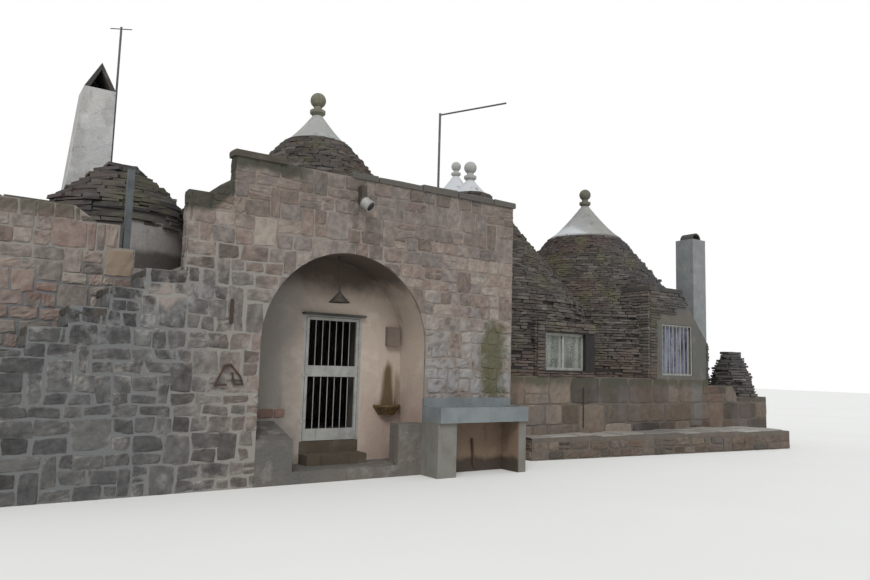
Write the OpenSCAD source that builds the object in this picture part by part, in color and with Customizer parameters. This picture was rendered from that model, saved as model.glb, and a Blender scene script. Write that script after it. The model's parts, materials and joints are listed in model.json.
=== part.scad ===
// Trullo house: a tall entrance block with an arched niche, a stepped stair
// wall on the left, and a low wing on the right under dry stone cones.
// Millimetres, +Z up. The origin is on the ground in the middle of the
// entrance niche. The facade looks towards -Y.

/* [Entrance block] */
// Face of the block left of the niche centre
block_left = 1965; // [1800:5:2400]
// Face of the block right of the niche centre
block_right = 3350; // [3000:5:3600]
// Depth of the block
block_depth = 5800; // [5500:10:6200]
// Height of the walls under the coping
block_h = 4800; // [4700:10:5300]
// Thickness of the side and rear walls
wall_t = 800; // [600:10:900]
// Thickness of the wall over the roof and of the shoulder over the landing
parapet_t = 200; // [150:5:300]
// Thickness of the side and rear kerbs
kerb_t = 340; // [250:5:355]
// Height of the kerbs over the roof
kerb_h = 150; // [80:5:250]
// Height of the block's roof
roof_z = 4300; // [4150:10:4400]
// Thickness of the roof masonry at the rim of the dome
roof_t = 800; // [500:10:1000]
// Thickness of the coping slabs
coping_t = 110; // [60:5:150]
// Left end of the gap in the coping, left of the niche centre
coping_x0 = 1170; // [1100:10:1300]
// Right end of the gap in the coping, left of the niche centre
coping_x1 = 60; // [20:10:200]
// Overhang of the coping slabs
coping_out = 40; // [10:5:80]
// Height of the room floors
floor_z = 530; // [350:5:600]
// Thickness of the floor slabs
floor_t = 150; // [80:5:200]

/* [Niche] */
// Radius of the niche arch
niche_r = 1450; // [1300:5:1500]
// Height of the arch springing
niche_spring = 2100; // [1900:5:2300]
// Depth of the niche
niche_d = 800; // [600:5:900]
// Thickness of the wall behind the niche
back_t = 400; // [300:5:500]
// Height of the niche paving
paving_z = 180; // [100:5:220]
// Height of the left bench
left_bench_h = 650; // [600:5:900]
// Width of the left bench
left_bench_w = 580; // [350:5:620]
// Fall of the left bench's top to the front
bench_fall = 220; // [0:5:260]
// Height of the right bench
right_bench_h = 840; // [600:5:900]
// Width of the right bench
right_bench_w = 480; // [350:5:620]
// Depth of the right bench
right_bench_d = 280; // [200:5:400]
// Height of the step at the door
step_h = 160; // [100:5:170]
// Tread of the step at the door
step_d = 330; // [250:5:400]

/* [Door] */
// Left edge of the doorway, left of the niche centre
door_left = 420; // [350:5:500]
// Clear width of the doorway
door_w = 1070; // [1000:5:1100]
// Clear height of the doorway
door_h = 2080; // [2000:5:2200]
// Face width of the steel frame
frame_w = 42; // [35:1:80]
// Depth of the steel frame
frame_d = 60; // [40:1:90]
// Gap around the leaf
leaf_gap = 8; // [6:1:12]
// Thickness of the leaf
leaf_t = 40; // [30:1:50]
// Face width of the leaf's rails and stiles
leaf_rail = 48; // [40:1:90]
// Face width of the leaf's bottom rail
foot_rail = 190; // [60:5:220]
// Height of the leaf's middle rail over its bottom edge
mid_rail_z = 1040; // [900:5:1100]
// Face width of the middle rail
mid_rail_w = 180; // [100:5:200]
// Number of bars in each panel
bar_n = 6; // [4:1:8]
// Diameter of the hinge barrels
hinge_dia = 18; // [14:1:20]
// Diameter of a bar
bar_dia = 14; // [12:1:20]

/* [Washing sink] */
// Left side of the sink, right of the niche centre
sink_x = 1420; // [1400:5:1460]
// Length of the sink
sink_w = 1880; // [1700:5:1900]
// Depth of the sink from the facade
sink_d = 550; // [450:5:650]
// Height of the sink's rim
sink_top = 1130; // [1000:5:1300]
// Height of the basin body
sink_h = 250; // [240:5:400]
// Wall of the basin
sink_wall = 90; // [60:5:120]
// Depth of the bowl
sink_bowl = 150; // [100:5:160]
// Height of the upstand along the wall behind the sink
sink_back_h = 135; // [80:5:200]
// Thickness of the upstand behind the sink, less than the basin's walls
sink_back_t = 55; // [30:5:55]
// Width of the left support
left_leg_w = 370; // [250:5:450]
// Width of the right support
right_leg_w = 160; // [120:5:250]
// Set-back of the supports
leg_back = 60; // [20:5:100]

/* [Stair and left wing] */
// Foot of the stair, left of the niche centre
stair_foot = 7540; // [7300:5:7700]
// Near end of the landing, left of the niche centre
landing_end = 3100; // [3050:5:3150]
// Face of the shoulder, left of the niche centre
shoulder_x = 2600; // [2500:5:2700]
// Height of the shoulder
shoulder_h = 4180; // [4000:10:4300]
// Drop from the block's top to the shoulder's slope
shoulder_drop = 355; // [300:5:520]
// Run of the shoulder's slope
shoulder_run = 345; // [280:5:400]
// Number of risers
riser_n = 11; // [9:1:12]
// Thickness of the treads
tread_t = 90; // [60:5:120]
// Nosing of the treads
tread_nose = 25; // [10:5:40]
// Depth of the stair from the facade line
stair_d = 900; // [850:5:1000]
// Height of the landing and the terrace
terrace_z = 3100; // [3000:10:3200]
// Thickness of the terrace
terrace_t = 300; // [200:5:400]
// Far end of the left wing, left of the niche centre
wing_end = 7900; // [7800:10:8300]
// Height of the left front wall
left_wall_h = 3900; // [3800:10:4100]
// Height of the post's plinth over the terrace
plinth_h = 270; // [200:5:320]
// Width of the post's plinth
plinth_w = 220; // [180:5:260]
// Run of the left front wall's low part
low_run = 300; // [200:5:400]
// Run of the left front wall's slope
slope_run = 300; // [200:5:400]
// Drop of the left front wall's low part
low_drop = 200; // [150:5:260]
// Thickness of the left walls
left_wall_t = 600; // [500:10:650]
// Height of the left side and rear parapets
left_low_h = 3400; // [3300:10:3600]

/* [Small cone] */
// Centre of the small cone, left of the niche centre
small_x = 2900; // [2880:5:2920]
// Space between the small cone and the chimney
stack_gap = 20; // [10:5:60]
// Radius at the foot of the small cone
small_r = 1180; // [1100:5:1190]
// Radius of its flat top
small_top_r = 240; // [200:5:300]
// Height of the small cone's foot
small_z = 4200; // [4100:5:4300]
// Height of the small cone's flat top
small_top_z = 5150; // [5050:5:5300]
// Overhang of the small cone's lowest slabs
eaves_out = 30; // [20:5:50]
// Wall of the small drum
small_wall = 300; // [200:5:350]

/* [Cones] */
// Radius of the block's cone at the roof
main_r = 2300; // [2150:5:2350]
// Radius of the vault under the block's cone
main_room_r = 1750; // [1600:5:1780]
// Height where the block's cap begins
main_cap_z = 6190; // [6150:5:6250]
// Radius of the block's cap
main_cap_r = 650; // [600:5:690]
// Centre of the middle cone
middle_x = 5350; // [5300:5:5400]
// Centre of the right cone
right_x = 9480; // [9400:5:9500]
// Centre of the two wing cones behind the facade line
wing_y = 4000; // [3990:5:4010]
// Radius of the wing cones at the eaves
wing_r = 2760; // [2650:5:2850]
// Radius of the wing drums at their foot
drum_r = 3000; // [2960:5:3000]
// Radius of the rooms under the wing cones
room_r = 1900; // [1700:5:1950]
// Height of the eaves
eaves_z = 3300; // [3200:5:3400]
// Height where the middle cap begins
middle_cap_z = 6050; // [5950:5:6150]
// Radius of the middle cap
middle_cap_r = 480; // [420:5:520]
// Height where the right cap begins
right_cap_z = 5450; // [5400:5:5550]
// Radius of the right cap
right_cap_r = 990; // [900:5:1030]
// Centre of the rear cone, right of the niche centre
rear_x = 8240; // [8200:5:8350]
// Centre of the rear cone behind the facade line
rear_y = 8600; // [8550:5:8700]
// Radius of the rear drum
rear_r = 2900; // [2800:5:2950]
// Batter of the rear drum
rear_batter = 50; // [20:5:80]
// Radius of the rear room
rear_room_r = 1700; // [1600:5:1750]
// Height of the rear eaves
rear_eaves_z = 4800; // [4600:5:4900]
// Height where the rear cap begins
rear_cap_z = 6700; // [6600:5:6800]
// Radius of the rear cap
rear_cap_r = 1250; // [1200:5:1300]
// Height of the neck of the rear cap
rear_neck_z = 8060; // [8000:5:8150]
// Radius of the necks that carry the finials
neck_r = 100; // [90:5:120]
// Radius of the finials' balls
ball_r = 160; // [150:5:200]
// Radius of the finials' collars
collar_r = 158; // [140:5:190]
// Radius of the finials' stems
stem_r = 85; // [60:5:95]
// Height of a cone's shell over its vault
shell_t = 420; // [350:5:500]
// Drop of the vaults' feet under the eaves
vault_drop = 200; // [150:5:250]
// Height of the stepped courses outside
course_h = 200; // [150:5:300]
// Height of the corbelled courses inside
corbel_h = 250; // [200:5:350]

/* [Right wing] */
// Front of the wing behind the facade line
wing_front = 1000; // [950:5:1020]
// Rear of the wing behind the facade line
wing_rear = 7000; // [6980:5:7050]
// Height of the wing's walls
wing_wall_h = 1650; // [1600:5:1700]
// Right end of the annex
annex_end = 13400; // [13200:10:13600]
// Height of the annex wall under its slab pile
annex_low_h = 1200; // [1000:5:1300]
// Height of the annex wall at the wing
annex_high_h = 1480; // [1400:5:1550]
// Centre of the slab pile, right of the niche centre
pile_x = 12750; // [12700:5:12780]
// Centre of the slab pile behind the facade line
pile_y = 1620; // [1610:5:1650]
// Radius of the slab pile
pile_r = 610; // [500:5:620]
// Height of the slab pile
pile_h = 1150; // [1000:5:1250]
// Left end of the wall bench
bench_x0 = 4400; // [4200:10:4600]
// Right end of the wall bench
bench_x1 = 12200; // [12000:10:12500]
// Height of the wall bench
bench_h = 430; // [350:5:500]
// Depth of the bench at its left end
bench_d0 = 450; // [350:5:550]
// Depth of the bench at its right end
bench_d1 = 1300; // [1000:10:1400]

/* [Windows] */
// Left side of the small window
small_win_x = 5160; // [5140:5:5260]
// Width of the small window
small_win_w = 1210; // [1100:5:1230]
// Sill height of the small window
small_win_z = 1780; // [1740:5:1820]
// Height of the small window
small_win_h = 795; // [700:5:850]
// Left side of the large window
large_win_x = 8990; // [8970:5:9010]
// Width of the large window
large_win_w = 1170; // [1100:5:1270]
// Sill height of the large window
large_win_z = 1720; // [1690:5:1750]
// Height of the large window
large_win_h = 1240; // [1150:5:1300]
// Left side of the dormer
dormer_x0 = 8530; // [8500:5:8600]
// Right side of the dormer at its foot
dormer_x1 = 10810; // [10700:5:10810]
// Right end of the dormer's flat roof
dormer_top_x = 9750; // [9700:5:9800]
// Height of the dormer's right side
dormer_side_h = 2520; // [2450:5:2600]
// Height of the dormer under its roof slab
dormer_h = 3740; // [3650:5:3800]
// Depth of the dormer
dormer_d = 900; // [700:5:1000]
// Thickness of the dormer's roof slab
dormer_slab = 100; // [60:5:140]
// Depth of the window frames
win_frame_d = 60; // [40:1:80]
// Face width of the window frames
win_frame_w = 55; // [40:1:70]
// Set-back of the small window's frame
small_win_set = 90; // [60:5:160]
// Set-back of the large window's frame
large_win_set = 90; // [60:5:160]
// Masonry left of the small window
bay_left = 240; // [150:5:300]
// Masonry right of the small window
bay_right = 280; // [150:5:350]
// Depth of the masonry round the small window
bay_d = 900; // [700:5:1000]
// Masonry over the small window
bay_over = 230; // [150:5:300]

/* [Chimneys and metalwork] */
// Depth of the left chimney
left_stack = 660; // [600:5:700]
// Width of the left chimney at its top
stack_top_w = 560; // [500:5:620]
// Batter of the left chimney's outer side
stack_batter = 340; // [200:5:400]
// Centre of the left chimney, left of the niche centre
left_stack_x = 3190; // [3150:5:3230]
// Top of the left chimney's shaft
left_stack_top = 6930; // [6800:5:7100]
// Height of the leaning slabs over the shaft
cowl_h = 520; // [450:5:560]
// Thickness of the leaning slabs
cowl_t = 70; // [50:5:90]
// Side of the flues
flue = 280; // [220:5:320]
// Side of the right chimney
right_stack = 590; // [500:5:640]
// Centre of the right chimney behind the facade line
right_stack_y = 2890; // [2850:5:2950]
// Top of the right chimney
right_stack_top = 5700; // [5500:5:5800]
// Outer diameter of the half pipe on the right chimney
cowl_dia = 410; // [390:5:440]
// Wall of that half pipe
pipe_t = 40; // [25:5:45]
// Diameter of the masts
mast_dia = 42; // [34:1:50]
// Top of the left mast
left_mast_top = 8400; // [8000:10:8600]
// Distance of the left mast from its chimney
mast_stand = 60; // [30:5:90]
// Side of the mast's clamps
clamp_w = 40; // [30:5:50]
// Length of the arm at the mast's head
arm_l = 420; // [300:5:600]
// Diameter of the arm
arm_dia = 20; // [16:1:26]
// Centre of the parapet mast, right of the niche centre
mast_x = 1900; // [1850:5:1950]
// Top of the parapet mast
mast_top = 6420; // [6300:5:6500]
// Reach of the mast's boom
boom_l = 1330; // [1200:5:1400]
// Diameter of the boom
boom_dia = 30; // [24:1:36]
// Side of the post at the stair head
post_w = 90; // [70:1:100]
// Top of the post at the stair head
post_top = 4560; // [4500:5:4700]

/* [Fittings] */
// Length of the niche lamp with its rod
lamp_drop = 760; // [600:5:800]
// Radius of the niche lamp's shade
lamp_r = 180; // [140:5:200]
// Centre of the floodlight, right of the niche centre
flood_x = 140; // [100:5:180]
// Distance of the floodlight's centre from the facade
flood_y = 150; // [140:5:200]
// Centre of the floodlight under the top of the wall
flood_down = 440; // [400:5:500]
// Diameter of the floodlight
flood_dia = 180; // [140:5:200]
// Length of the floodlight
flood_l = 180; // [140:5:200]
// Dip and turn of the floodlight
flood_dip = 127; // [115:1:135]
flood_turn = 34; // [0:1:45]
// Width of the floodlight's bracket
arm_w = 90; // [60:5:100]
// Height of the floodlight's bracket
arm_h = 230; // [200:5:260]
// Centre of the wall bowl, right of the niche centre
bowl_x = 1180; // [1160:5:1190]
// Foot of the wall bowl
bowl_z = 940; // [920:5:1100]
// Radius of the wall bowl
bowl_r = 255; // [200:5:260]
// Height of the wall bowl
bowl_h = 170; // [120:5:190]
// Left side of the wall box, right of the niche centre
meter_x = 1130; // [1100:5:1140]
// Foot of the wall box
meter_z = 2130; // [2100:5:2140]
// Width of the wall box
meter_w = 260; // [200:5:260]
// Depth of the wall box
meter_d = 90; // [60:5:120]
// Height of the wall box
meter_h = 330; // [260:5:340]

/* [Hidden] */
$fn = 180;
// Overshoot of a cutting solid
e = 10;
// Ceiling rose of the lamp and its distance from the top of the vault
rose_r = 45;
rose_gap = 1;
// Points and hollow of a cap's flank
cap_steps = 8;
cap_sweep = 0.82;
// Clearance between curved faces that lie against each other
seat = 0.3;
door_right = door_w - door_left;
door_top = floor_z + door_h;
room_x0 = -block_left + wall_t;
room_x1 = block_right - wall_t;
room_y0 = niche_d + back_t;
room_y1 = block_depth - wall_t;
main_x = (room_x0 + room_x1) / 2;
main_y = (room_y0 + room_y1) / 2;
run = (stair_foot - landing_end) / (riser_n - 1);
rise = terrace_z / riser_n;
left_y0 = stair_d;
left_y1 = block_depth;
wing_wall_t = drum_r - room_r;
valley_x = (middle_x + right_x) / 2;
wing_x1 = right_x + drum_r;
right_stack_x = wing_x1 + right_stack / 2;
left_stack_y = left_y1 - left_wall_t - left_stack / 2;
small_y = left_stack_y - left_stack / 2 - small_r - stack_gap;

// The model is drawn from the facade line and set with the niche's middle at
// the origin
module place() translate([0, -niche_d / 2, 0]) children();
module box(x0, y0, z0, x1, y1, z1)
  translate([x0, y0, z0]) cube([x1 - x0, y1 - y0, z1 - z0]);
// Outline in X and Z, drawn from depth y0 to depth y1
module slab_xz(points, y0, y1)
  translate([0, y1, 0]) rotate([90, 0, 0])
    linear_extrude(height = y1 - y0) polygon(points);

module facade_piers() place() color("tan") {
  box(-block_left, 0, 0, -niche_r, niche_d, niche_spring);
  box(niche_r, 0, 0, block_right, niche_d, niche_spring);
}
module facade_upper() place() color("tan")
  difference() {
    union() {
      box(-block_left, 0, niche_spring, block_right, niche_d, roof_z);
      box(-block_left, 0, roof_z, block_right, parapet_t, block_h);
    }
    translate([0, niche_d + e, niche_spring]) rotate([90, 0, 0])
      cylinder(r = niche_r, h = niche_d + 2 * e);
  }
module niche_back_sides() place() color("wheat") {
  box(-block_left, niche_d, 0, -door_left, room_y0, roof_z);
  box(door_right, niche_d, 0, block_right, room_y0, roof_z);
}
module niche_back_over() place() color("wheat")
  box(-door_left, niche_d, door_top, door_right, room_y0, roof_z);
module block_side_walls() place() color("tan") {
  box(-block_left, room_y0, 0, room_x0, block_depth, roof_z);
  box(-block_left, parapet_t, roof_z, -block_left + kerb_t, block_depth,
    roof_z + kerb_h);
  box(room_x1, room_y0, 0, block_right, block_depth, roof_z);
  box(block_right - kerb_t, parapet_t, roof_z, block_right, block_depth,
    roof_z + kerb_h);
}
module block_rear_wall() place() color("tan") {
  box(room_x0, room_y1, 0, room_x1, block_depth, roof_z);
  box(-block_left + kerb_t, block_depth - kerb_t, roof_z,
    block_right - kerb_t, block_depth, roof_z + kerb_h);
}
module block_roof() place() color("gray")
  difference() {
    box(room_x0, room_y0, roof_z - roof_t, room_x1, room_y1, roof_z);
    translate([main_x, main_y, roof_z - roof_t - e])
      cylinder(r = main_room_r, h = roof_t + 2 * e);
  }
module coping() place() color("dimgray")
  for (run = [[-block_left - coping_out, -coping_x0],
      [-coping_x1, block_right + coping_out]])
    box(run[0], -coping_out, block_h, run[1], parapet_t + coping_out,
      block_h + coping_t);
module floors() place() color("lightgray") {
  box(room_x0, room_y0, floor_z - floor_t, room_x1, room_y1, floor_z);
  box(block_right, wing_front + wing_wall_t, floor_z - floor_t,
    middle_x + room_r, block_depth, floor_z);
  box(right_x - room_r, wing_front + wing_wall_t, floor_z - floor_t,
    right_x + room_r, block_depth, floor_z);
  box(-wing_end + left_wall_t, left_y0 + left_wall_t,
    terrace_z - terrace_t, -block_left, left_y1 - left_wall_t, terrace_z);
}
module niche_floor() place() color("gray")
  box(-niche_r, 0, 0, niche_r, niche_d, paving_z);
module threshold() place() color("lightgray") {
  box(-door_left, niche_d, 0, door_right, room_y0, floor_z);
  box(-door_left, niche_d - step_d, paving_z, door_right, niche_d,
    paving_z + step_h);
}
module niche_benches() place() color("tan") {
  translate([-niche_r, 0, 0])
    rotate([90, 0, 90])
      linear_extrude(left_bench_w)
        polygon([[0, paving_z], [niche_d, paving_z],
          [niche_d, left_bench_h + bench_fall], [0, left_bench_h]]);
  box(niche_r - right_bench_w, 0, paving_z, niche_r, right_bench_d,
    right_bench_h);
}
hinge_x = -door_left + frame_w + leaf_gap / 2;
hinge_y = niche_d - hinge_dia / 2 - 1;
hinge_h = 45;
plate_t = 4;
// One knuckle of a hinge with its plate, side -1 on the frame, 1 on the leaf
module knuckle(z, side) {
  translate([hinge_x, hinge_y, z])
    cylinder(d = hinge_dia, h = hinge_h, $fn = 32);
  box(min(hinge_x, hinge_x + side * 46), hinge_y - 2, z,
    max(hinge_x, hinge_x + side * 46), hinge_y + plate_t - 2,
    z + hinge_h);
  box(min(hinge_x + side * 14, hinge_x + side * 46), hinge_y, z,
    max(hinge_x + side * 14, hinge_x + side * 46), niche_d, z + hinge_h);
}
hinge_z = [for (k = [0.14, 0.5, 0.86]) floor_z + k * door_h];
module door_frame() place() color("white") {
  for (z = hinge_z) knuckle(z, -1);
  difference() {
    box(-door_left, niche_d, floor_z, door_right, niche_d + frame_d,
      door_top);
    box(-door_left + frame_w, niche_d - e, floor_z - e,
      door_right - frame_w, niche_d + frame_d + e, door_top - frame_w);
  }
}
module door_leaf() place() color("white") {
  x0 = -door_left + frame_w + leaf_gap;
  x1 = door_right - frame_w - leaf_gap;
  z0 = floor_z + leaf_gap;
  z1 = door_top - frame_w - leaf_gap;
  clear = x1 - x0 - 2 * leaf_rail;
  difference() {
    box(x0, niche_d, z0, x1, niche_d + leaf_t, z1);
    box(x0 + leaf_rail, niche_d - e, z0 + foot_rail, x1 - leaf_rail,
      niche_d + leaf_t + e, z0 + mid_rail_z);
    box(x0 + leaf_rail, niche_d - e, z0 + mid_rail_z + mid_rail_w,
      x1 - leaf_rail, niche_d + leaf_t + e, z1 - leaf_rail);
  }
  for (z = hinge_z) knuckle(z + hinge_h + seat, 1);
  for (i = [1:bar_n])
    translate([x0 + leaf_rail + i * clear / (bar_n + 1),
        niche_d + leaf_t / 2, z0 + leaf_rail / 2])
      cylinder(d = bar_dia, h = z1 - z0 - leaf_rail, $fn = 24);
}
module sink_basin() place() color("lightsteelblue")
  difference() {
    union() {
      box(sink_x, -sink_d, sink_top - sink_h, sink_x + sink_w, 0, sink_top);
      box(sink_x, -sink_back_t, sink_top, sink_x + sink_w, 0,
        sink_top + sink_back_h);
    }
    box(sink_x + sink_wall, -sink_d + sink_wall, sink_top - sink_bowl,
      sink_x + sink_w - sink_wall, -sink_wall, sink_top + e);
  }
module sink_supports() place() color("tan") {
  box(sink_x, -sink_d + leg_back, 0, sink_x + left_leg_w, 0,
    sink_top - sink_h);
  box(sink_x + sink_w - right_leg_w, -sink_d + leg_back, 0,
    sink_x + sink_w, 0, sink_top - sink_h);
}
module facade_shoulder() place() color("tan") {
  slab_xz([[-shoulder_x, 0], [-block_left, 0],
    [-block_left, block_h - shoulder_drop],
    [-block_left - shoulder_run, shoulder_h], [-shoulder_x, shoulder_h]],
    0, parapet_t);
  box(-shoulder_x, parapet_t, 0, -block_left, stair_d, terrace_z);
}
module stair() place() color("tan")
  slab_xz(concat([[-shoulder_x, 0], [-shoulder_x, terrace_z - tread_t]],
    [for (i = [0:riser_n - 1], k = [0:1])
      [-landing_end - i * run,
        max(0, terrace_z - tread_t - (i + k) * rise)]]),
    0, stair_d);
module stair_treads() place() color("dimgray") {
  box(-landing_end - tread_nose, 0, terrace_z - tread_t, -shoulder_x,
    stair_d, terrace_z);
  for (i = [1:riser_n - 1])
    box(-landing_end - i * run - tread_nose, 0,
      terrace_z - tread_t - i * rise, -landing_end - (i - 1) * run,
      stair_d, terrace_z - i * rise);
}
plinth_x = -landing_end + 20;
low_x = plinth_x - plinth_w;
slope_x = low_x - low_run;
module left_front_wall() place() color("tan")
  slab_xz([[-wing_end, 0], [-block_left, 0], [-block_left, terrace_z],
    [plinth_x, terrace_z], [plinth_x, terrace_z + plinth_h],
    [low_x, terrace_z + plinth_h], [low_x, left_wall_h - low_drop],
    [slope_x, left_wall_h - low_drop], [slope_x - slope_run, left_wall_h],
    [-wing_end, left_wall_h]], left_y0, left_y0 + left_wall_t);
module left_side_wall() place() color("tan")
  box(-wing_end, left_y0 + left_wall_t, 0, -wing_end + left_wall_t,
    left_y1 - left_wall_t, left_low_h);
module left_rear_wall() place() color("tan")
  box(-wing_end, left_y1 - left_wall_t, 0, -block_left, left_y1,
    left_low_h);
module left_drum() place() color("darkgray")
  difference() {
    translate([-small_x, small_y, terrace_z])
      cylinder(r = small_r - eaves_out, h = small_z - terrace_z);
    translate([-small_x, small_y, terrace_z - e])
      cylinder(r = small_r - eaves_out - small_wall, h = small_z);
    box(-block_left, 0, 0, 0, left_y1, block_h);
  }
module left_cone() place() color("dimgray")
  difference() {
    translate([-small_x, small_y, small_z]) rotate_extrude()
      polygon([[small_r - eaves_out - small_wall, 0], [small_r, 0],
        [small_top_r, small_top_z - small_z],
        [0, small_top_z - small_z],
        [0, small_top_z - small_z - small_wall]]);
    box(-block_left, 0, 0, 0, left_y1, small_top_z + e);
  }
// Shaft with one battered side round its flue, from its centre
module stack(w, d, top, batter)
  difference() {
    slab_xz([[-w / 2 - batter, 0], [w / 2, 0], [w / 2, top], [-w / 2, top]],
      -d / 2, d / 2);
    translate([-flue / 2, -flue / 2, -e])
      cube([flue, flue, top + 2 * e]);
  }
module chimneys() place() color("white") {
  translate([-left_stack_x, left_stack_y, terrace_z])
    stack(stack_top_w, left_stack, left_stack_top - terrace_z, stack_batter);
  translate([right_stack_x, right_stack_y, 0])
    stack(right_stack, right_stack, right_stack_top, 0);
}
module chimney_cowls() place() color("gray") {
  half = stack_top_w / 2;
  y0 = left_stack_y - left_stack / 2;
  y1 = left_stack_y + left_stack / 2;
  translate([-left_stack_x, 0, left_stack_top]) {
    slab_xz([[-half, 0], [0, cowl_h], [half, 0], [half - 1.3 * cowl_t, 0],
      [0, cowl_h - 2 * cowl_t], [-half + 1.3 * cowl_t, 0]], y0, y1);
    slab_xz([[-half, 0], [0, cowl_h], [half, 0]], y1 - cowl_t, y1);
  }
  translate([right_stack_x, right_stack_y, right_stack_top])
    difference() {
      rotate([90, 0, 0])
        cylinder(d = cowl_dia, h = cowl_dia, center = true);
      rotate([90, 0, 0])
        cylinder(d = cowl_dia - 2 * pipe_t, h = cowl_dia + 2 * e, center = true);
      box(-cowl_dia, -cowl_dia, -cowl_dia, cowl_dia, cowl_dia, 0);
    }
}
// Clamp that holds the left mast to the chimney
module clamp(z, mast_side)
  box(-left_stack_x + stack_top_w / 2, left_stack_y - clamp_w / 2, z,
    mast_side, left_stack_y + clamp_w / 2, z + clamp_w);
module masts() place() color("silver") {
  mast_side = -left_stack_x + stack_top_w / 2 + mast_stand;
  translate([mast_side, left_stack_y, terrace_z])
    cylinder(d = mast_dia, h = left_mast_top - terrace_z, $fn = 32);
  for (k = [0.45, 0.75, 0.95])
    clamp(terrace_z + k * (left_stack_top - terrace_z), mast_side);
  translate([mast_side, left_stack_y, left_mast_top - 2 * arm_dia])
    rotate([90, 0, 60])
      cylinder(d = arm_dia, h = arm_l, center = true, $fn = 24);
  translate([mast_x, niche_d / 2, roof_z]) {
    cylinder(d = mast_dia, h = mast_top - roof_z, $fn = 32);
    translate([0, 0, mast_top - roof_z - boom_dia])
      rotate([90, 0, 25])
        cylinder(d = boom_dia, h = boom_l, $fn = 32);
  }
  translate([low_x + (plinth_w - post_w) / 2, left_y0 + 50,
      terrace_z + plinth_h])
    cube([post_w, post_w, post_top - terrace_z - plinth_h]);
}
// Stepped outline between two radii and heights: each course stands upright
// at the straight flank's radius, at = 0 at its foot and 1 at its top
function courses(r0, z0, r1, z1, h, at) =
  let (n = max(2, round(abs(z1 - z0) / h)))
    [for (i = [0:n - 1], k = [0, 1])
      [r0 + (r1 - r0) * (i + at) / n, z0 + (z1 - z0) * (i + k) / n]];
// Corbelled vault over a round wall, from its crown down to its foot
function vault(r, z0, z1) =
  concat([[0, z1]], courses(0, z1, r, z0, corbel_h, 0.5), [[r, z0]]);
// Hollow cone of stepped courses over a corbelled vault
module shell(r0, z0, r1, z1, inner)
  rotate_extrude()
    polygon(concat(courses(r0, z0, r1, z1, course_h, 1), [[0, z1]],
      vault(inner, z0, z1 - shell_t)));
module main_cone() place() color("dimgray")
  translate([main_x, main_y, 0])
    shell(main_r, roof_z, main_cap_r, main_cap_z, main_room_r);
// Lime cap: a hollow-flanked cone that sweeps up to the neck
module cap(x, y, z, r, neck_z)
  translate([x, y, z]) rotate_extrude()
    polygon(concat([[0, 0], [r, 0], [r, 40]],
      [for (i = [1:cap_steps])
        let (t = i / cap_steps)
          [r + (neck_r - r) * pow(t, cap_sweep),
            40 + (neck_z - z - 40) * t]],
      [[0, neck_z - z]]));
main_neck_z = main_cap_z + 660;
middle_neck_z = middle_cap_z + 430;
right_neck_z = right_cap_z + 990;
module caps() place() color("white") {
  cap(main_x, main_y, main_cap_z, main_cap_r, main_neck_z);
  cap(middle_x, wing_y, middle_cap_z, middle_cap_r, middle_neck_z);
  cap(right_x, wing_y, right_cap_z, right_cap_r, right_neck_z);
  cap(rear_x, rear_y, rear_cap_z, rear_cap_r, rear_neck_z);
}
// Ball on a stem and a flat collar
module finial(x, y, z)
  translate([x, y, z]) rotate_extrude()
    polygon(concat([[0, 0], [neck_r, 0], [collar_r, 55], [collar_r, 115],
      [stem_r, 150], [stem_r, 190]],
      [for (a = [-60:15:90])
        [ball_r * cos(a), 175 + ball_r * (1 + sin(a))]]));
module finials() place() color("gray") {
  finial(main_x, main_y, main_neck_z);
  finial(middle_x, wing_y, middle_neck_z);
  finial(right_x, wing_y, right_neck_z);
  finial(rear_x, rear_y, rear_neck_z);
}
module right_front_wall() place() color("tan")
  slab_xz([[block_right, 0], [annex_end, 0], [annex_end, annex_low_h],
    [pile_x - pile_r - 100, annex_low_h],
    [pile_x - pile_r - 300, annex_high_h], [dormer_x1, annex_high_h],
    [dormer_x1, wing_wall_h],
    [block_right, wing_wall_h]], wing_front, wing_front + wing_wall_t);
module right_rear_wall() place() color("tan")
  box(block_right, block_depth, 0, wing_x1, wing_rear,
    wing_wall_h);
module right_cross_walls() place() color("tan") {
  box(middle_x + room_r, wing_front + wing_wall_t, 0, right_x - room_r,
    block_depth, wing_wall_h);
  box(right_x + room_r, wing_front + wing_wall_t, 0, wing_x1,
    block_depth, wing_wall_h);
}
// Outer outline of a wing cone, set out by a clearance
function wing_outline(r1, z1, out = 0) =
  concat([[drum_r + out, wing_wall_h], [wing_r + out, eaves_z]],
    courses(wing_r + out, eaves_z, r1 + out, z1, course_h, 1));
// Battered drum and stepped cone over one room of the wing
module wing_shell(r1, z1)
  rotate_extrude()
    polygon(concat(wing_outline(r1, z1), [[0, z1]],
      vault(room_r, eaves_z - vault_drop, z1 - shell_t),
      [[room_r, wing_wall_h]]));
module window_cuts() {
  box(small_win_x, 0, small_win_z, small_win_x + small_win_w, wing_y,
    small_win_z + small_win_h);
  box(large_win_x, 0, large_win_z, large_win_x + large_win_w, wing_y,
    large_win_z + large_win_h);
}
module dormer_body(over = 0)
  slab_xz([[dormer_x0, wing_wall_h], [dormer_x1, wing_wall_h],
    [dormer_x1, dormer_side_h], [dormer_top_x, dormer_h], [dormer_x0, dormer_h]],
    wing_front - over, wing_front + dormer_d);
module middle_cone() place() color("dimgray")
  difference() {
    union() {
      translate([middle_x, wing_y, 0])
        wing_shell(middle_cap_r, middle_cap_z);
      box(small_win_x - bay_left, wing_front, wing_wall_h,
        small_win_x + small_win_w + bay_right, wing_front + bay_d,
        small_win_z + small_win_h + bay_over);
    }
    box(0, 0, 0, block_right, 2 * wing_y, 3 * eaves_z);
    box(valley_x, 0, 0, annex_end, 2 * wing_y, 3 * eaves_z);
    window_cuts();
  }
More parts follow.
